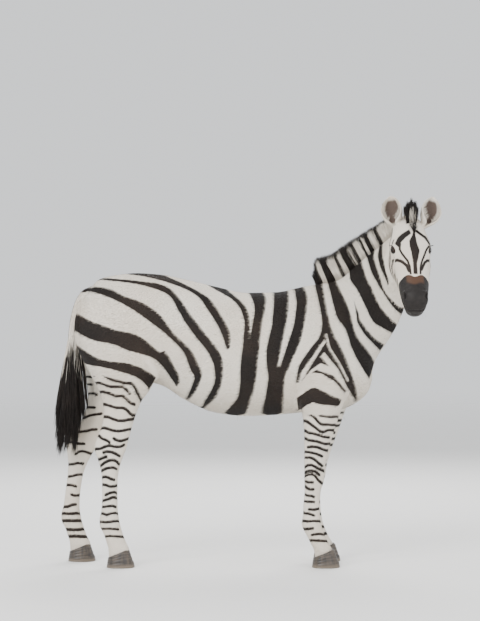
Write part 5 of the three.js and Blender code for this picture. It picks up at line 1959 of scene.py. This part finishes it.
def make_ear_hair(material):
    """The pale hair that crosses the cup of each ear from its edges."""
    draw = np.random.default_rng(57)
    per_side = EAR_HAIRS
    parts = []
    for side in SIDES.values():
        rise, mouth, across = ear_axes(side)
        t = draw.uniform(0.1, 0.86, per_side)
        edge = draw.choice([-1.0, 1.0], per_side) * draw.uniform(0.62, 0.97, per_side)
        _, turn, radius, middle = ear_cup(side, t)
        at = turn * edge[:, None]
        inward = mouth * np.cos(at) - across * np.sin(at)
        root = middle - inward * (radius - EAR_THICK * 0.6)
        way = unit(inward * 0.5 + mouth * 0.3 + rise * 0.75 + draw.normal(0, 0.16, (per_side, 3)))
        aside = unit(np.cross(way, inward))
        parts.append((root, way, aside, 26 * (1.1 - 0.6 * t) * draw.uniform(0.7, 1.2, per_side)))
    root, way, aside, lengths = (np.concatenate(column) for column in zip(*parts))
    count = len(root)
    bend = draw.normal(0, 2, (count, 3))
    shape = lengths, draw.uniform(0.9, 1.6, count), 0.6, bend
    tint = np.clip(0.3 + draw.normal(0, 0.2, count), 0, 1)
    long_hair("ear_hair", material, (root, way, aside), shape, (ALL_LIGHT, tint, NO_DARK_TIP))


# ---- the whole animal ----------------------------------------------------------------------------
def make_animal():
    coat = coat_material("coat", 0.62, True)
    tufts = coat_material("coat_tufts", 0.58, False)
    hair = coat_material("long_hair", 0.5, False)
    points, faces = make_skin()
    normals = corner_normals(points, faces)
    values = coat_values(points, normals)
    skin = mesh_piece("skin", points, faces, coat, values, flat_map(points, faces))
    flesh = ["torso", "neck", "head", "tail"]
    flesh += [f"{part}_{side}" for part in ("ear", "foreleg", "hindleg") for side in SIDES]
    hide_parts(*flesh)
    dressed = (points, faces, normals, values)
    make_coat(dressed, tufts)
    make_mane(hair)
    make_forelock(hair)
    make_switch(hair)
    make_ear_hair(hair)
    make_lashes(hair)
    make_whiskers(dressed, hair)
    eye, horn = eye_material(), hoof_material()
    for name, side in SIDES.items():
        make_eye(side, f"eyeball_{name}", eye)
        fore, hind = (FORE_STEP, HIND_STEP) if side > 0 else (0, 0)
        make_hoof(f"hoof_fore_{name}", FORE_HOOF_X + fore, side, horn)
        make_hoof(f"hoof_hind_{name}", HIND_HOOF_X + hind, side, horn)


# ---- floor and light -----------------------------------------------------------------------------
FLOOR_SIZE = 30.0
FLOOR_FADES = (6.0, 22.0)  # the floor fades into the pale studio over these distances


def make_floor():
    mesh = bpy.data.meshes.new("floor")
    corners = [(-1, -1), (1, -1), (1, 1), (-1, 1)]
    mesh.from_pydata([(x * FLOOR_SIZE, y * FLOOR_SIZE, 0) for x, y in corners], [], [(0, 1, 2, 3)])
    n = Nodes("floor")
    n.shade(Base_Color=n.blend(n.noise(2.0, 3), DARK_FLOOR, LIGHT_FLOOR), Roughness=0.8)
    place = n.add("ShaderNodeTexCoord").outputs["Object"]
    away = n.add("ShaderNodeVectorMath", {0: place}, operation="LENGTH").outputs["Value"]
    n.shade(Alpha=n.step(away, *FLOOR_FADES, 1.0, 0.0))
    mesh.materials.append(n.material)
    floor = add_object("floor", mesh)


LIGHTS = [  # place, watts, size, in metres
    ((-3.5, -5.5, 5.0), 620, 4.0),
    ((5.0, -5.0, 2.6), 210, 4.0),
    ((0.5, 4.5, 4.5), 330, 4.0),
]
LIT_MIDDLE = (0.0, 0.1, 0.9)
WORLD_COLOUR, WORLD_STRENGTH = (0.86, 0.88, 0.9, 1), 1.25


def make_lights():
    for index, (place, watts, size) in enumerate(LIGHTS):
        data = bpy.data.lights.new(f"light_{index}", "AREA")
        data.energy, data.size = watts, size
        light = add_object(f"light_{index}", data)
        light.location = place
        away = Vector(place) - Vector(LIT_MIDDLE)
        light.rotation_euler = away.to_track_quat("Z", "Y").to_euler()
    world = bpy.data.worlds.new("studio")
    world.use_nodes = True
    background = world.node_tree.nodes["Background"]
    background.inputs["Color"].default_value = WORLD_COLOUR
    background.inputs["Strength"].default_value = WORLD_STRENGTH
    bpy.context.scene.world = world


make_camera()
make_animal()
make_floor()
make_lights()
